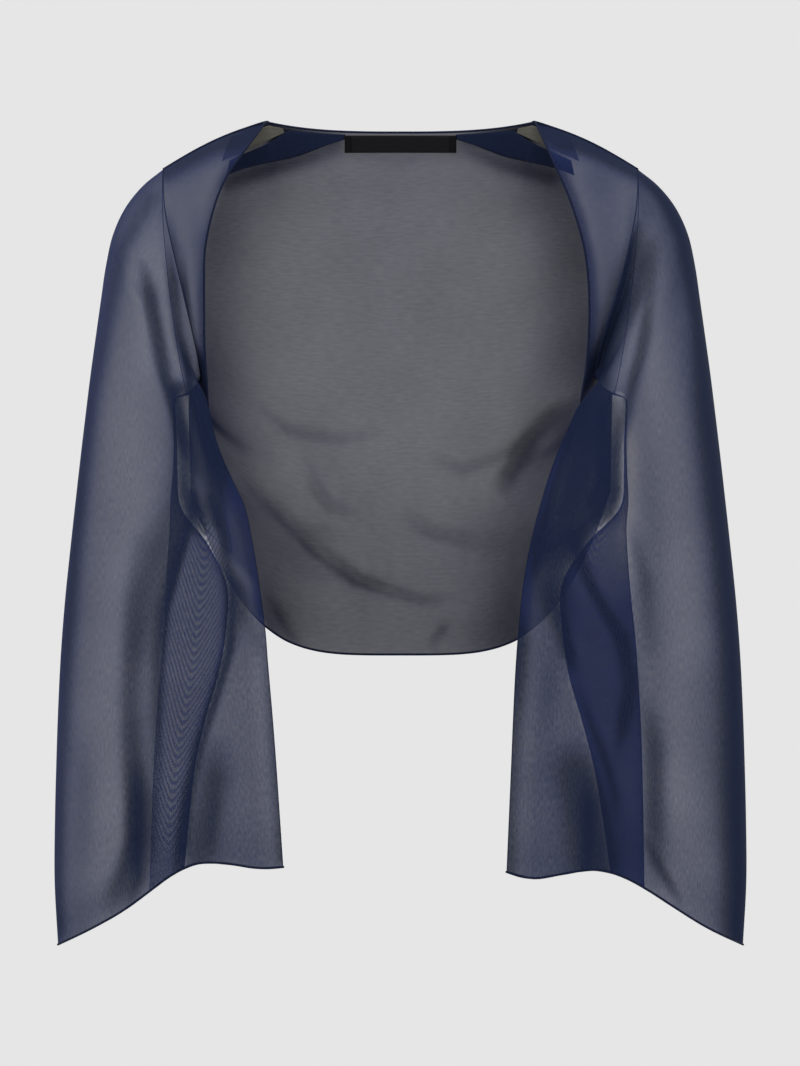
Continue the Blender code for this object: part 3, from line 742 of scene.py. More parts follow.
def clothMaterial(name, look, tone):
    # Cloth or thread of two colours, mixed by one output of the crepe group, with the weave as bump
    material = newMaterial(name, look["color"], look["roughness"], look["sheen"], look["sheenTint"])
    tree = material.node_tree
    shader = tree.nodes["Principled BSDF"]
    cloth = tree.nodes.new("ShaderNodeGroup")
    cloth.node_tree = crepeGroup
    tree.links.new(tree.nodes.new("ShaderNodeTexCoord").outputs["UV"], cloth.inputs["UV"])
    for socket in yarnSockets:
        if socket.lower() in look:
            cloth.inputs[socket].default_value = look[socket.lower()]
    mixed = mixColors(tree, cloth.outputs[tone], look["color"], look["colorLight"])
    tree.links.new(mixed, shader.inputs["Base Color"])
    bump = tree.nodes.new("ShaderNodeBump")
    bump.inputs["Strength"].default_value = look["bump"]
    bump.inputs["Distance"].default_value = look.get("bumpHeight", surface["bumpHeight"])
    tree.links.new(cloth.outputs["Height"], bump.inputs["Height"])
    tree.links.new(bump.outputs["Normal"], shader.inputs["Normal"])
    return material, shader, cloth, mixed


def denseMaterial(name, look):
    # Opaque cloth or thread, with a weave or ribs in its UVs
    return clothMaterial(name, look, "Height")[0]


def sheerMaterial(name, look):
    # Light comes through less where the cloth is seen at a slant, where it lies double, and where painted shade is
    # added as layers
    material, shader, cloth, mixed = clothMaterial(name, look, "Cloud")
    tree = material.node_tree
    link, calc = tree.links.new, mathsIn(tree)

    def field(name):
        node = tree.nodes.new("ShaderNodeAttribute")
        node.attribute_name = name
        return node.outputs["Fac"]

    facing = tree.nodes.new("ShaderNodeLayerWeight")
    facing.inputs["Blend"].default_value = 0.5
    layers = field("layers")
    cosine = calc("MAXIMUM", calc("SUBTRACT", 1.0, facing.outputs["Facing"]), surface["grazing"])
    power = calc("MULTIPLY_ADD", field("flat"), look["slant"], -look["slant"])
    depth = calc("MULTIPLY", calc("POWER", cosine, power), layers)
    wave = calc("MULTIPLY", calc("SINE", calc("MULTIPLY", field("ripple"), math.tau)), field("rippled"))
    opened = calc("MULTIPLY", cloth.outputs["Openness"], calc("ADD", wave, 1.0))
    seen = calc("POWER", calc("MULTIPLY", opened, look["through"], clamp=True), depth)
    link(calc("SUBTRACT", 1.0, seen, clamp=True), shader.inputs["Alpha"])
    # Painted shade: where bunched cloth and painted shade add layers, the colour turns deeper
    bunchAndShading = calc("SUBTRACT", layers, surface["bunchedFrom"], clamp=True)
    link(mixColors(tree, bunchAndShading, mixed, look["colorDeep"]), shader.inputs["Base Color"])
    return material


# Cloth as it lies: the same pieces as the frame's solids, with the finer folds and painted shade.
# A fold has a width on each side of its path, how far it goes back, and how many layers of cloth are
# bunched in it; these layers also carry painted shade, and below zero painted light. The points of its
# path follow, down or to the wearer's left, each with its x, its drop and its strength, which is 1 where it isn't
# given.
print("surfaces")
sides = {"left": 1.0, "right": -1.0}
loops = {side: armholeLoop(side) for side in sides}
edges = {side: backEdge(side) for side in sides}
backCells = backGrid(edges, loops)
frontCells = {side: frontGrid(side, loops[side]) for side in sides}
sleeveCells = {side: sleeveGrid(side, loops[side]) for side in sides}
for row in frontCells["right"] + sleeveCells["right"]:
    for point in row:
        point.x = -point.x

# Back
back = {
    # The same chiffon as the fronts and sleeves, made darker, greyer and less see-through as painted shade, as the
    # garment's inside is less lit
    "material": {
        "color": (0.009, 0.012, 0.036), "colorLight": (0.015, 0.019, 0.052), "colorDeep": (0.006, 0.007, 0.014),
        "roughness": 0.8, "sheen": 0.02, "sheenTint": (0.55, 0.6, 0.8), "through": 0.153, "slant": 0.8,
        "bump": 0.5, "bumpHeight": 0.0004,
        "across": 120.0, "along": 560.0, "weave": 1300.0, "cloudy": 22.0, "contrast": 0.6,
    },
    "flat": (0.46, 0.45), "area": 0.17, "finer": (6, 6),
    "stillRows": 0.12, "stillColumns": 0.08, "stillHem": 0.15,  # shares of the back over which folds fade
    "drape": 1.2, "drapeSize": 55.0, "drapeStretch": 0.8, "drapeSeed": 3.0,
    # Painted light: thinner by these shares at these drops, where it lies behind the fronts and sleeves
    "lit": ((0, 0.3), (200, 0.3), (300, 0.5)), "litFrom": 3.0, "litRun": 15.0,
    # Strokes here with no depth are only painted shade: beside the fronts' edges, round the neck and facings, and low
    # on the back
    "folds": (
        (4, 32, 0, 0.5, (-136, 43, 0.5), (-154, 94), (-159, 142), (-157, 198), (-149, 246, 0.5), (-135, 288, 0.5),
         (-123, 334, 0.6), (-111, 392)),
        (36.8, 4, 0, 0.62, (128, 34, 0.5), (145, 78, 0.9), (153, 118), (155, 150), (152, 186), (144, 222, 0.6),
         (131, 262, 0.4), (118, 302, 0.5), (110, 342, 0.8), (102, 382), (96, 413, 1.1)),
        (6.4, 7.2, 4, 0.6, (144, 219, 0), (121, 235, 0.7), (104, 253), (86, 282, 0.9), (78, 301, 0)),
        (4.8, 6.4, 3.5, 0.3, (-128, 282, 0), (-96, 314, 0.8), (-68, 342), (-35, 367), (-8, 374, 0)),
        (4.8, 4.8, -2.5, 0.18, (-79, 267, 0), (-69, 291), (-57, 307), (-31, 317, 0)),
        (4.8, 6.4, 2.5, 0.18, (-8, 309, 0), (23, 327), (48, 334), (72, 338, 0)),
        (4, 4, 2.5, 0.22, (-56, 350, 0), (-24, 370), (16, 382), (48, 379, 0)),
        (4, 5.6, 2, 0.16, (-120, 222, 0), (-88, 246), (-48, 254), (-8, 246, 0)),
        (4, 5.6, 2, 0.16, (16, 266, 0), (48, 278), (88, 266), (112, 246, 0)),
        (3.2, 4.8, 2, 0.3, (-108, 373, 0), (-96, 394), (-84, 414, 0.4)),
        (3.2, 4.8, 2, 0.35, (40, 397, 0), (32, 406), (24, 417, 0.4)),
        (8, 11.2, 0, 0.25, (-128, 37, 0.5), (-80, 30), (-44, 22, 0.6), (0, 29, 0.6), (48, 22, 0.6), (80, 30),
         (128, 43, 0.6)),
        (6.4, 6.4, 0, 0.5, (-138, 48, 0.8), (-111, 40), (-80, 30, 0.8), (-52, 19, 0.6)),
        (6.4, 6.4, 0, 0.4, (49, 18, 0.4), (80, 34, 0.8), (120, 45)),
        (4.8, 4.8, 0, 2.2, (-111, 7), (-80, 12, 0.8), (-56, 14, 0.2), (-44, 15, 0)),
        (4.8, 4.8, 0, 2.2, (44, 15, 0), (56, 14, 0.2), (80, 12, 0.8), (112, 7)),
        (11.2, 8, 0, 2, (169, 219, 0.1), (169, 254, 0.3), (168, 278, 0.9), (165, 298), (156, 314, 0.9),
         (144, 326, 0.8), (132, 338, 0.6), (121, 350, 0)),
        (48, 48, 0, 0.13, (-88, 350), (0, 366), (88, 350)),
        (32, 32, 0, 0.12, (-80, 414), (0, 422), (80, 410)),
    ),
}
backPoints = finerGrid(backCells, *back["finer"])
rowShare = np.linspace(0, 1, len(backPoints))[:, None]
columnShare = np.linspace(0, 1, backPoints.shape[1])[None, :]
still = fading(np.minimum(rowShare, 1 + back["stillHem"] - rowShare), back["stillRows"]) * fading(
    np.minimum(columnShare, 1 - columnShare), back["stillColumns"])
backLayersAndShading = addFoldsAndShading(backPoints, back["folds"], still)
# Painted light: more light falls on the back behind the fronts and sleeves, so there it is made thinner and lighter
covered = np.zeros(backLayersAndShading.shape)
for side, sign in sides.items():
    edge = [row[0] for row in frontCells[side]]
    edge += [ring[0] for ring in sleeveCells[side] if ring[0].z < edge[-1].z]
    reach = np.interp(-backPoints[..., 2], [-point.z for point in edge], [abs(point.x) for point in edge])
    beyond = fading(backPoints[..., 0] * sign - reach + back["litFrom"], back["litRun"])
    beyond = beyond * beyond * (3 - 2 * beyond)
    backLayersAndShading *= 1 - np.interp(-backPoints[..., 2], *zip(*back["lit"])) * beyond
    covered = np.maximum(covered, beyond)
backPoints[..., 1] += drape(backPoints, back["drapeSize"], back["drapeStretch"],
                            back["drapeSeed"]) * back["drape"] * still
backPlaced = placedAll(backPoints)
backShadedCloth = sheerMaterial("back_chiffon_shaded", back["material"])
backPiece = addCloth("back_panel", backPlaced, backShadedCloth, backLayersAndShading)
# Painted light: behind the fronts and sleeves the back is also not darkened where it is seen at a slant
addField(backPiece, "flat", covered)
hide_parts("back")

# Fronts
chiffon = {
    "color": (0.0085, 0.0155, 0.064), "colorLight": (0.014, 0.0245, 0.090), "colorDeep": (0.0065, 0.012, 0.037),
    "roughness": 0.8, "sheen": 0.03, "sheenTint": (0.5, 0.57, 0.85), "through": 0.41, "slant": 0.55,
    "bumpHeight": 0.0004,
    "across": 850.0, "along": 200.0, "weave": 1500.0, "cloudy": 14.0, "contrast": 0.8,
}
front = {
    "material": {**chiffon, "bump": 0.15},
    "flat": (0.12, 0.37), "area": {"left": 0.0178, "right": 0.0169}, "finer": (5, 6),
    "layers": 0.75, "lowEnd": (200.0, 285.0), "lowLayers": 0.2,  # thinner down to its hidden tip
    "stillColumns": 0.15, "allowance": 0.9,
    # Strokes here with no depth are only painted shade, along the shoulders, the neck edge and the armhole
    "folds": {"right": (
        (16, 16, 0, 0.25, (-167, 54, 0.6), (-170, 94), (-172, 142, 0.6)),
        (8, 8.8, 0, 1.8, (-111, 3, 0.8), (-128, 11), (-148, 19), (-168, 29), (-188, 40, 0.9)),
        (8, 8, 0, 1.4, (-111, 0), (-120, 10), (-132, 22, 0.7)),
        (2.4, 2.4, 0, 0.5, (-135, 46, 0), (-149, 78, 0.3), (-155, 110, 0.7), (-156, 158, 0.6), (-156, 198)),
        (4.8, 4.8, 3, 2.2, (-189, 67, 0), (-183, 98, 0.8), (-176, 134), (-171, 166), (-164, 195), (-159, 216)),
        (3.2, 3.2, 2, 1.2, (-175, 94, 0), (-172, 134, 0.8), (-168, 169, 0.8), (-162, 195), (-156, 218)),
        (6.4, 6.4, 2, 0.5, (-164, 62, 0), (-162, 94), (-159, 134, 0.6), (-158, 158, 0)),
        (6.4, 4.8, 0, 1.9, (-162, 178, 0), (-159, 198), (-154, 222)),
    ), "left": (
        (8, 9.6, 0, 2.7, (112, 3, 0.8), (128, 10), (148, 19), (169, 28), (192, 40, 0.9)),
        (8, 8, 0, 1.4, (110, 0), (120, 10), (131, 22, 0.7)),
        (3.2, 3.2, 0, 0.5, (128, 42, 0), (144, 82, 0.3), (150, 118, 0.7), (152, 166, 0.7), (150, 198)),
        (16, 16, 0, 0.6, (158, 50), (164, 78), (164, 118), (163, 158), (156, 182, 0.5)),
        (6.4, 7.2, 0, 2.5, (155, 192, 0.3), (148, 210), (143, 224), (137, 237, 0.5)),
        (4, 4.8, 3, 1.5, (187, 46, 0), (185, 86, 0.6), (180, 118, 0.9), (173, 149, 1.1), (163, 174, 1.2),
         (155, 197, 1.2), (150, 210)),
        (10.4, 9.6, 3, 1.9, (184, 94, 0), (180, 112, 0.4), (176, 136), (166, 170), (158, 194, 0.9)),
    )},
}
frontCloth = sheerMaterial("front_chiffon", front["material"])
frontPlaced, frontPieces = {}, {}
for side in sides:
    points = finerGrid(frontCells[side], *front["finer"])
    # The armhole stays where the sleeve meets it, and its seam allowance runs under the sleeve
    inside = fading(1 - np.linspace(0, 1, points.shape[1]), front["stillColumns"])[None, :]
    layers = addFoldsAndShading(points, front["folds"][side], inside) * front["layers"]
    outward = points[:, -1] - points[:, -3]
    points[:, -1] += outward / np.linalg.norm(outward, axis=1, keepdims=True) * front["allowance"]
    layers *= np.interp(-points[..., 2], front["lowEnd"], (1.0, front["lowLayers"]))
    frontPlaced[side] = placedAll(points)
    frontPieces[side] = addCloth("front_panel_" + side, frontPlaced[side], frontCloth,
                                 layers)
    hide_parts("front_" + side)

# Sleeves
sleeve = {
    "material": {**chiffon, "bump": 0.2},
    "flat": {"left": (0.585, 0.64), "right": (0.55, 0.64)}, "area": {"left": 0.242, "right": 0.231},
    "finer": (8, 5), "stillRings": 0.03, "stillSteps": 1.5,  # folds fade below the armhole and from the edges
    "backSteps": 2,                                  # bunched layers and painted shade fade over these steps of the back
    # Layers in the pleat between its fold and its line, and beyond the fold, with their share at each drop
    "pleatLayers": {"right": 0.4, "left": 1.1}, "flapLayers": {"right": 1.5, "left": 1.8},
    "pleatTop": {"right": ((0, 1.0), (400, 1.0)), "left": ((330, 0.4), (390, 1.0))},
    "flapTop": ((360, 0.25), (415, 1.0)), "flapRun": 4.0,
    # How flat the inner edge lies at each drop, over this many steps of the ring
    "plain": ((250, 0.0), (300, 1.0), (400, 1.0), (440, 0.0)), "plainSteps": 3,
    # The water pattern lies between two edges, each row a drop with their x
    "lens": {
        "right": ((301, -157, -157), (323, -165, -147), (355, -178, -136), (397, -190, -134), (434, -192, -140),
                  (470, -193, -151), (497, -194, -160), (543, -196, -170), (598, -199, -176)),
        "left": ((297, 160, 160), (333, 150, 169), (355, 128, 180), (382, 119, 188), (423, 131, 190),
                 (453, 138, 191), (482, 151, 192), (511, 163, 192), (543, 172, 192)),
    },
    "ripple": 2.9, "rippleFall": 0.42, "rippleRound": 3.0, "rippleShare": {"right": 0.45, "left": 0.4},
    "lensRun": 4, "lensStart": 20, "lensEnd": 30,
    # Strokes here with no depth are only painted shade, and those with layers below zero are painted light
    "folds": {"right": (
        (6.4, 6.4, 0, 0.9, (-200, 62, 0.6), (-223, 102, 0.7), (-236, 166, 0.7), (-247, 222, 0.8), (-255, 286, 0.9),
         (-261, 350, 0.9), (-266, 414, 0.9), (-269, 478, 0.7), (-272, 542, 0.7), (-274, 646, 0.7)),
        (7.2, 11.2, 3, 1.1, (-208, 334, 0.2), (-215, 382, 0.7), (-216, 414), (-218, 462), (-216, 510, 1.4),
         (-213, 542, 2.4), (-213, 574, 2.5), (-220, 598, 1.5), (-228, 614, 0.8), (-237, 634, 0)),
        (4, 4.8, 2, 0.5, (-213, 494, 0), (-212, 534), (-212, 566), (-216, 594, 0.4)),
        (12.8, 11.2, 0, 1, (-172, 254, 0.6), (-178, 302), (-192, 342, 1.1), (-202, 382, 0.8), (-207, 422, 0.3)),
        (10.4, 11.2, 0, 2.4, (-159, 219, 0.5), (-154, 242), (-150, 266, 1.1), (-149, 288, 0.8), (-148, 306, 0.4),
         (-144, 326, 0)),
        (4, 4.8, 0, 2.6, (-152, 302, 0.5), (-146, 320), (-141, 334, 0.6), (-140, 347, 0.2)),
        (6.4, 6.4, 0, 1, (-111, 350, 0.4), (-117, 374, 0.2), (-111, 392, 0.6), (-108, 414, 0)),
        (4.8, 5.6, 4, 1.7, (-208, 107, 0), (-202, 134, 0.8), (-195, 169, 0.9), (-188, 206), (-180, 230), (-172, 258),
         (-165, 278, 0.4)),
        (4, 4, 4, 1.6, (-188, 94, 0), (-183, 126, 0.8), (-177, 169, 0.8), (-171, 190), (-166, 217), (-161, 238),
         (-153, 259, 0.8), (-143, 284, 0.4)),
        (2.4, 11.2, 3, 0.5, (-218, 126, 0), (-204, 142, 0.8), (-199, 174, 0.6), (-194, 206, 0)),
        (4.8, 4.8, 0, -0.25, (-188, 142, 0), (-183, 174), (-173, 214), (-165, 246, 0.6), (-162, 262, 0)),
        (12.8, 12.8, 0, 1.3, (-149, 486, 0), (-149, 526), (-156, 566, 0.8), (-160, 592, 0.6)),
        (4, 4, 0, 0.6, (-148, 518, 0), (-149, 550), (-152, 578, 0.8)),
        (6.4, 6.4, 0, 1, (-135, 350, 0), (-128, 374), (-122, 398, 0.8), (-111, 430, 0)),
        (7.2, 3.2, 0, 1.6, (-164, 302, 0.4), (-170, 326, 1.3), (-178, 352, 1.6), (-188, 390, 1.5), (-192, 430, 1.1),
         (-193, 478, 0.8), (-194, 526, 0.4), (-197, 590, 0.3)),
        (4.8, 2.4, 0, 1.2, (-168, 534, 0.5), (-173, 558), (-177, 597)),
        (4, 4.8, 0, 1.2, (-212, 566, 0), (-210, 590), (-210, 606), (-216, 622, 0.4)),
        (16, 16, 0, 0.4, (-264, 642), (-232, 622), (-204, 602)),
        (5.6, 3.2, 0, 1.5, (-140, 342, 0.2), (-135, 374), (-136, 422, 1.3), (-148, 462, 1.3), (-160, 498, 1.3),
         (-168, 534, 1.3), (-173, 582)),
        (9.6, 8, 0, -0.4, (-133, 302, 0), (-128, 322), (-122, 346), (-116, 374, 0.8), (-112, 392, 0.3)),
        (5.6, 2.4, 0, 0.9, (-108, 406, 0.5), (-103, 462), (-99, 526), (-94, 590)),
        (24, 24, 0, 0.4, (-168, 582), (-136, 582), (-95, 582)),
        (6.4, 6.4, 0, 1.5, (-178, 214, 1.3), (-175, 246, 1.1), (-174, 272, 0.8), (-171, 296, 1.4), (-164, 312, 2),
         (-161, 323, 1.4), (-156, 333, 0.2), (-143, 347, 0.4), (-133, 374, 0.9), (-131, 392), (-132, 414, 0.3)),
        (20.8, 20.8, 0, -0.2, (-223, 102, 0.4), (-229, 166), (-234, 246), (-237, 318, 0.4), (-240, 382, 0)),
        (9.6, 9.6, 0, 0.3, (-264, 462, 0), (-253, 526), (-255, 582), (-261, 622, 0.6)),
    ), "left": (
        (22.4, 22.4, 0, 0.6, (192, 37, 0.6), (216, 66), (225, 110), (230, 158, 0.5), (238, 222, 0)),
        (7.2, 7.2, 0, 1.8, (169, 22, 0), (192, 35, 0.9), (212, 56, 0.8), (228, 91), (237, 134), (244, 182, 0.8),
         (251, 238, 0.4), (256, 278, 0)),
        (20.8, 20.8, 0, 0.35, (232, 414, 0), (246, 462), (249, 510), (252, 566, 0.6)),
        (16, 11.2, 0, 2.4, (244, 158, 0), (250, 222, 0.9), (258, 286), (266, 350), (272, 414, 1.1), (275, 478, 1.3),
         (276, 542, 1.5), (278, 646, 1.5)),
        (4, 4.8, 4, 1.5, (200, 62, 0), (187, 94, 0.4), (182, 112, 0.9), (172, 152, 1.1), (163, 175, 1.2),
         (155, 198, 1.2), (149, 211, 1.1), (138, 238, 0.7)),
        (7.2, 10.4, 4, 1.9, (193, 78, 0), (188, 102, 0.6), (177, 142), (164, 178), (156, 202)),
        (4.8, 5.6, 4, 1.2, (204, 94, 0.1), (200, 134, 0.5), (196, 166), (192, 186), (185, 210), (180, 235),
         (174, 252, 0.9), (168, 274, 0.6), (166, 302, 0.2)),
        (16, 13.6, 0, 3.2, (152, 216, 0.7), (152, 238), (147, 266), (140, 294), (129, 318, 0.8), (121, 341, 0.8),
         (121, 366, 0.6), (124, 390, 0.4), (126, 414, 0)),
        (8, 6.4, 0, 2.5, (172, 226, 0.3), (172, 254, 0.4), (172, 274, 0.8), (171, 296, 1.3), (165, 312),
         (153, 323, 0.3), (142, 338, 0.8), (136, 349, 0.4)),
        (5.6, 11.2, 0, 0.8, (96, 402), (92, 446), (90, 478, 0.3)),
        (4.8, 4, 0, 2, (161, 224, 0.8), (162, 254), (161, 286), (152, 305, 0.7)),
        (4.8, 4.8, 0, 1.6, (137, 331, 0.8), (144, 350), (151, 368), (163, 390, 0.9), (177, 414, 0.9), (184, 446, 0.5),
         (179, 478, 0.9), (172, 510, 0)),
        (19.2, 17.6, 0, 1.9, (129, 490, 0), (140, 518, 0.8), (150, 550, 1.2), (156, 590)),
        (4.8, 5.6, 0, 1.4, (148, 518, 0), (150, 550), (150, 578), (148, 598, 0.7)),
        (3.2, 4, 3, 1, (193, 568, 0), (204, 590), (216, 611), (227, 629, 0)),
        (8.8, 8.8, 0, 1.5, (196, 454, 0), (203, 502), (203, 558), (206, 606, 0.2)),
        (6.4, 6.4, 2, 0.7, (177, 302, 0.2), (187, 334, 0.8), (196, 366), (200, 422, 0.3)),
        (14.4, 14.4, 0, 0.5, (206, 238, 0.2), (201, 302, 0.8), (201, 382), (204, 446, 0.8), (208, 494, 0.3)),
        (6.4, 4.8, 0, 1.6, (119, 374, 0.3), (128, 398), (134, 421, 1.3), (139, 437, 0.5), (142, 446, 0)),
        (2.4, 4.8, 0, 1.6, (140, 440, 0), (145, 462, 0.5), (152, 482, 0.7), (164, 512, 0.8), (172, 542, 0.5),
         (173, 566, 0)),
        (8, 8, 0, 0.5, (123, 414, 0.4), (119, 454), (116, 494, 0.3)),
        (6.4, 7.2, 2, 1, (201, 90, 0), (196, 112), (190, 134), (182, 158, 0.4)),
        (5.6, 9.6, 0, -0.7, (179, 222, 0.6), (180, 262), (180, 318, 1.1), (180, 350, 0.6), (182, 374, 0)),
        (9.6, 11.2, 0, 0.7, (169, 374, 0), (177, 414), (182, 454), (177, 494, 0.5), (174, 526, 0)),
        (2.4, 7.2, 0, 1.1, (94, 414, 1.6), (91, 478), (88, 542), (86, 598)),
        (24, 24, 0, 0.35, (92, 586), (128, 590), (164, 590)),
        (24, 24, 0, 0.3, (208, 582, 0.7), (240, 622), (268, 642)),
    )},
}
sleeveCloth = sheerMaterial("sleeve_chiffon", sleeve["material"])
sleevePlaced, sleevePieces = {}, {}
ringTimes = sleeve["finer"][1]
foldIndex, lineIndex, heelIndex = (ringIndex(name) for name in underArm)
for side in sides:
    points = finerGrid(sleeveCells[side], *sleeve["finer"], closed=True)
    index = np.arange(points.shape[1]) / ringTimes
    below = fading(np.linspace(0, 1, len(points)), sleeve["stillRings"])[:, None]
    share = fading(np.minimum(index, topIndex - index), sleeve["stillSteps"])[None, :] * below
    onFront = np.clip(1 - (index - topIndex) / sleeve["backSteps"], 0, 1)[None, :]
    layers = addFoldsAndShading(points, sleeve["folds"][side], share, onFront)
    # Between the pleat's fold and its line the cloth lies on itself
    pleat = np.clip(np.minimum((index - foldIndex) * 2.0, heelIndex - index), 0, 1)[None, :]
    foldX = points[:, foldIndex * ringTimes, 0][:, None]
    beyond = np.clip((foldX - points[..., 0]) * sides[side] / sleeve["flapRun"] + 0.5, 0, 1) * (index >= lineIndex)
    drop = -points[..., 2]
    flap = sleeve["flapLayers"][side] * np.interp(drop, *zip(*sleeve["flapTop"]))
    turned = sleeve["pleatLayers"][side] * np.interp(drop, *zip(*sleeve["pleatTop"][side]))
    doubled = turned * (1 - beyond) + flap * beyond
    layers *= 1.0 + (doubled - 1.0) * pleat * below
    # Where the pleat's layers lie together their weaves make a water pattern
    drops, starts, ends = zip(*sleeve["lens"][side])
    start, end = np.interp(drop, drops, starts), np.interp(drop, drops, ends)
    off = np.abs(points[..., 0] - (start + end) / 2)
    ripple = (drop * sleeve["rippleFall"] + np.sqrt(off ** 2 + sleeve["rippleRound"] ** 2)) / sleeve["ripple"]
    inLens = fading((end - start) / 2 - off, sleeve["lensRun"]) * (index < topIndex)[None, :]
    rippled = inLens * fading(drop - drops[0], sleeve["lensStart"]) * fading(drops[-1] - drop, sleeve["lensEnd"])
    # Near its inner edge, under the arm, the sleeve lies flatter than it looks
    inward = np.minimum(index, points.shape[1] / ringTimes - index)
    near = np.clip(1 - inward / sleeve["plainSteps"], 0, 1)[None, :]
    sleevePlaced[side] = placedAll(points)
    sleevePieces[side] = addCloth("sleeve_tube_" + side, sleevePlaced[side], sleeveCloth,
                                  layers, closed=True)
    addField(sleevePieces[side], "flat", near * np.interp(drop, *zip(*sleeve["plain"])))
    addField(sleevePieces[side], "ripple", ripple)
    addField(sleevePieces[side], "rippled", rippled * sleeve["rippleShare"][side] / np.maximum(layers, 1))
    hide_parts("sleeve_" + side)

# Rolled hems and seams
hem = {
    "material": {
        "color": (0.004, 0.007, 0.022), "colorLight": (0.011, 0.016, 0.045), "roughness": 0.75,
        "sheen": 0.05, "sheenTint": (0.5, 0.57, 0.85), "bump": 0.8,
        "across": 900.0, "along": 10.0, "weave": 1200.0, "cloudy": 60.0,
    },
    "radius": 0.0009, "seamRadius": 0.00025,
    "hidden": 0.25, "hiddenDrops": (215, 235),       # thinner behind the sleeves, a front's from these drops
    "edge": (0.20, 0.22, 0.30), "edgeFrom": 0.55,    # the pleat's edge, coloured pale as a painted highlight, from this share of the sleeve
}
hemCloth = denseMaterial("rolled_hem", hem["material"])
pleatHighlightCloth = denseMaterial("pleat_edge_highlight", {**hem["material"], "color": hem["edge"], "colorLight": hem["edge"]})
print("hems and seams")


def addHem(name, paths, radius=hem["radius"], material=hemCloth):
    return addCords(name, paths, radius, material)


thin = 1 - covered[-1] * (1 - hem["hidden"])
hems = {"back": [addHem("hem_back", [(backPlaced[-1], False, thin), (backPlaced[0], False)])]}
for side in sides:
    frontHem = np.concatenate([frontPlaced[side][:, 0], frontPlaced[side][-1, 1:]])
    thin = np.interp(-frontHem[:, 2] / metre, hem["hiddenDrops"], (1, hem["hidden"]))
    hems["front_" + side] = [addHem("hem_front_" + side, [(frontHem, False, thin)])]
    tube = sleevePlaced[side]
    seams = [(tube[:, 0], False), (tube[0, :sideIndex * ringTimes], False)]
    hems["sleeve_" + side] = [addHem("hem_sleeve_" + side, [(tube[-1], True)]),
                              addHem("seam_sleeve_" + side, seams, hem["seamRadius"])]
# The pleat's edge on the left sleeve: a thin cord coloured pale as a painted highlight
tube = sleevePlaced["left"]
pleatHighlightPath = tube[round(hem["edgeFrom"] * len(tube)):, lineIndex * ringTimes]
hems["sleeve_left"].append(addHem("pleat_edge_highlight_left", [(pleatHighlightPath, False)], hem["seamRadius"], pleatHighlightCloth))

# Neck facings, shoulder tapes and label
satin = {
    "sheen": 0.05, "sheenTint": (1.0, 1.0, 1.0), "bump": 0.5,
    "across": 200.0, "along": 1800.0, "weave": 1600.0, "cloudy": 80.0,
}
band = {
    "facing": {
        "color": (0.005, 0.009, 0.026), "colorLight": (0.013, 0.019, 0.050), "roughness": 0.75,
        "sheen": 0.05, "sheenTint": (0.5, 0.57, 0.85), "bump": 0.6,
        "across": 300.0, "along": 500.0, "weave": 1300.0, "cloudy": 60.0,
    },
    "tape": {
        "color": (0.04, 0.04, 0.036), "colorLight": (0.20, 0.195, 0.165), "roughness": 0.85,
        "sheen": 0.02, "sheenTint": (1.0, 0.95, 0.9), "bump": 1.0,
        "across": 40.0, "along": 900.0, "weave": 1300.0, "cloudy": 60.0,
    },
    "label": {**satin, "color": (0.004, 0.004, 0.005), "colorLight": (0.010, 0.010, 0.012), "roughness": 0.38},
    # The label's folded ends: the same satin, darker as painted shade
    "labelEndShaded": {
        **satin, "color": (0.0015, 0.0015, 0.002), "colorLight": (0.006, 0.006, 0.007), "roughness": 0.5,
    },
    "finer": (4, 5), "thickness": 0.0005, "foldedColumns": 4, "foldedRise": 0.7,
}
bandLook = {kind: denseMaterial(kind + "_cloth", band[kind]) for kind in ("facing", "tape", "label", "labelEndShaded")}


def addBand(name, points, kind):
    # A piece with a thickness, made of rows of points in millimetres
    piece = addCloth(name, placedAll(points), bandLook[kind])
    wall = piece.modifiers.new("wall", "SOLIDIFY")
    wall.thickness = band["thickness"]
    wall.offset = 0.0
    return piece


for side, sign in sides.items():
    facingRows = finerGrid(bandGrid(backCells, sign, facingColumns, "facingTop", "facingLow"), *band["finer"])
    tapeRows = finerGrid(bandGrid(backCells, sign, tapeColumns, None, "tapeLow"), *band["finer"])
    facing = addBand("facing_" + side, facingRows, "facing")
    tape = addBand("tape_" + side, tapeRows, "tape")
    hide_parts("neck_facing_" + side)
    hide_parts("shoulder_tape_" + side)
labelRows = finerGrid(labelGrid(backCells), *band["finer"])
label = addBand("label_blank", labelRows, "label")
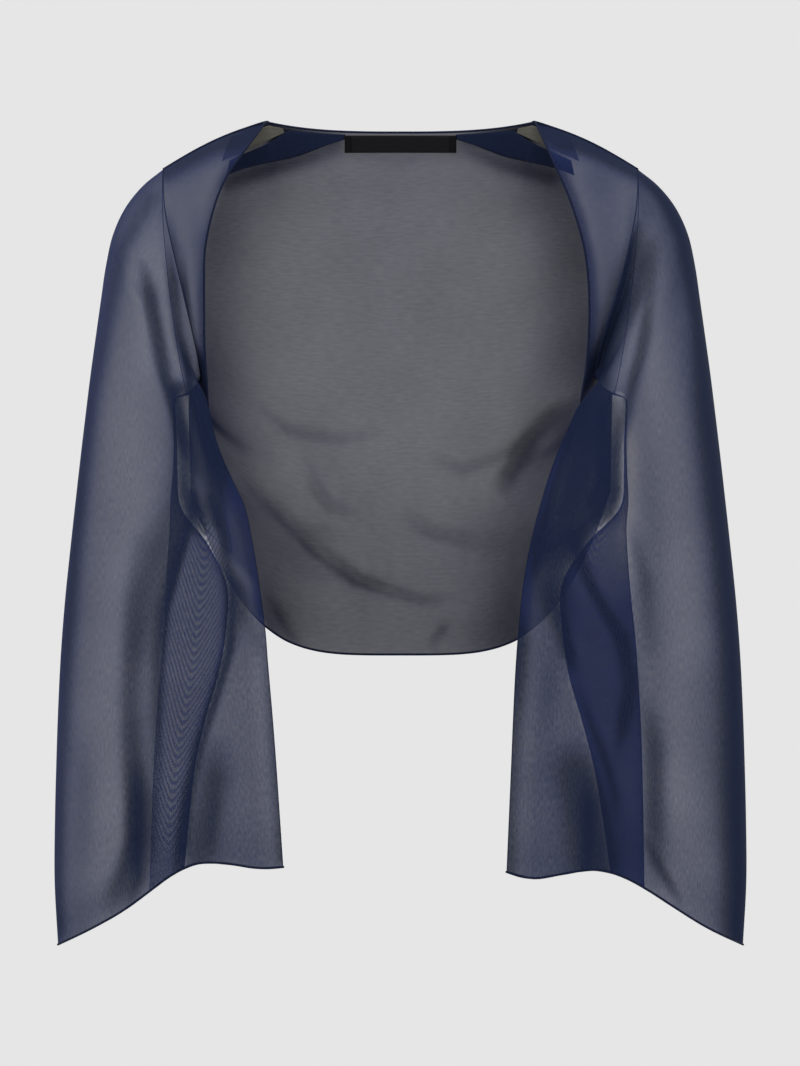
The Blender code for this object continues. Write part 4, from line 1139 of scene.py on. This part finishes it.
# Its ends are folded under, which shows as a raised strip, coloured darker as painted shade of the fold
folded = band["foldedColumns"]
for side, columns in (("right", labelRows[:, :folded]), ("left", labelRows[:, -folded:])):
    raised = columns.copy()
    raised[..., 1] -= band["foldedRise"]
    addBand("label_end_" + side, raised, "labelEndShaded")
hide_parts("neck_label")

# Studio: pale floor and surroundings, soft lights, and the camera
studio = {
    "surroundings": 0.79, "floorDrop": 1.2, "floorRadius": 2.4, "floorColor": (0.62, 0.62, 0.62),
    "floorRoughness": 0.9, "floorSides": 96,
    "eye": (-0.0004, -3.0, -0.3288), "lens": 126.64, "sensor": 36.0,
    "lit": (0, 0, -0.33),
    "lights": (
        ("key", (-1.6, -2.6, 1.1), 1.6, 26.0),
        ("fill", (1.8, -2.2, 0.4), 1.8, 14.0),
        ("top", (0.0, 0.2, 2.0), 1.6, 12.0),
    ),
}
print("studio")


def addObject(name, data):
    thing = bpy.data.objects.new(name, data)
    bpy.context.scene.collection.objects.link(thing)
    return thing


world = bpy.data.worlds.new("studio")
bpy.context.scene.world = world
world.use_nodes = True
world.node_tree.nodes["Background"].inputs["Color"].default_value = (*[studio["surroundings"]] * 3, 1.0)
turns = [2 * math.pi * a / studio["floorSides"] for a in range(studio["floorSides"])]
rim = [(studio["floorRadius"] * math.cos(a), studio["floorRadius"] * math.sin(a), -studio["floorDrop"])
       for a in turns]
floorMesh = bpy.data.meshes.new("floor")
floorMesh.from_pydata(rim, [], [tuple(range(len(rim)))])
floorMesh.materials.append(newMaterial("pale_floor", studio["floorColor"], studio["floorRoughness"]))
addObject("floor", floorMesh)
for name, place, size, power in studio["lights"]:
    lamp = bpy.data.lights.new(name, "AREA")
    lamp.shape = "DISK"
    lamp.size = size
    lamp.energy = power
    holder = addObject(name, lamp)
    holder.location = place
    holder.rotation_euler = (Vector(studio["lit"]) - Vector(place)).to_track_quat("-Z", "Y").to_euler()
camera = addObject("camera", bpy.data.cameras.new("camera"))
camera.data.lens = studio["lens"]
camera.data.sensor_width = studio["sensor"]
camera.location = studio["eye"]
camera.rotation_euler = (math.pi / 2, 0.0, 0.0)
bpy.context.scene.camera = camera
bpy.context.scene.view_settings.view_transform = "Standard"
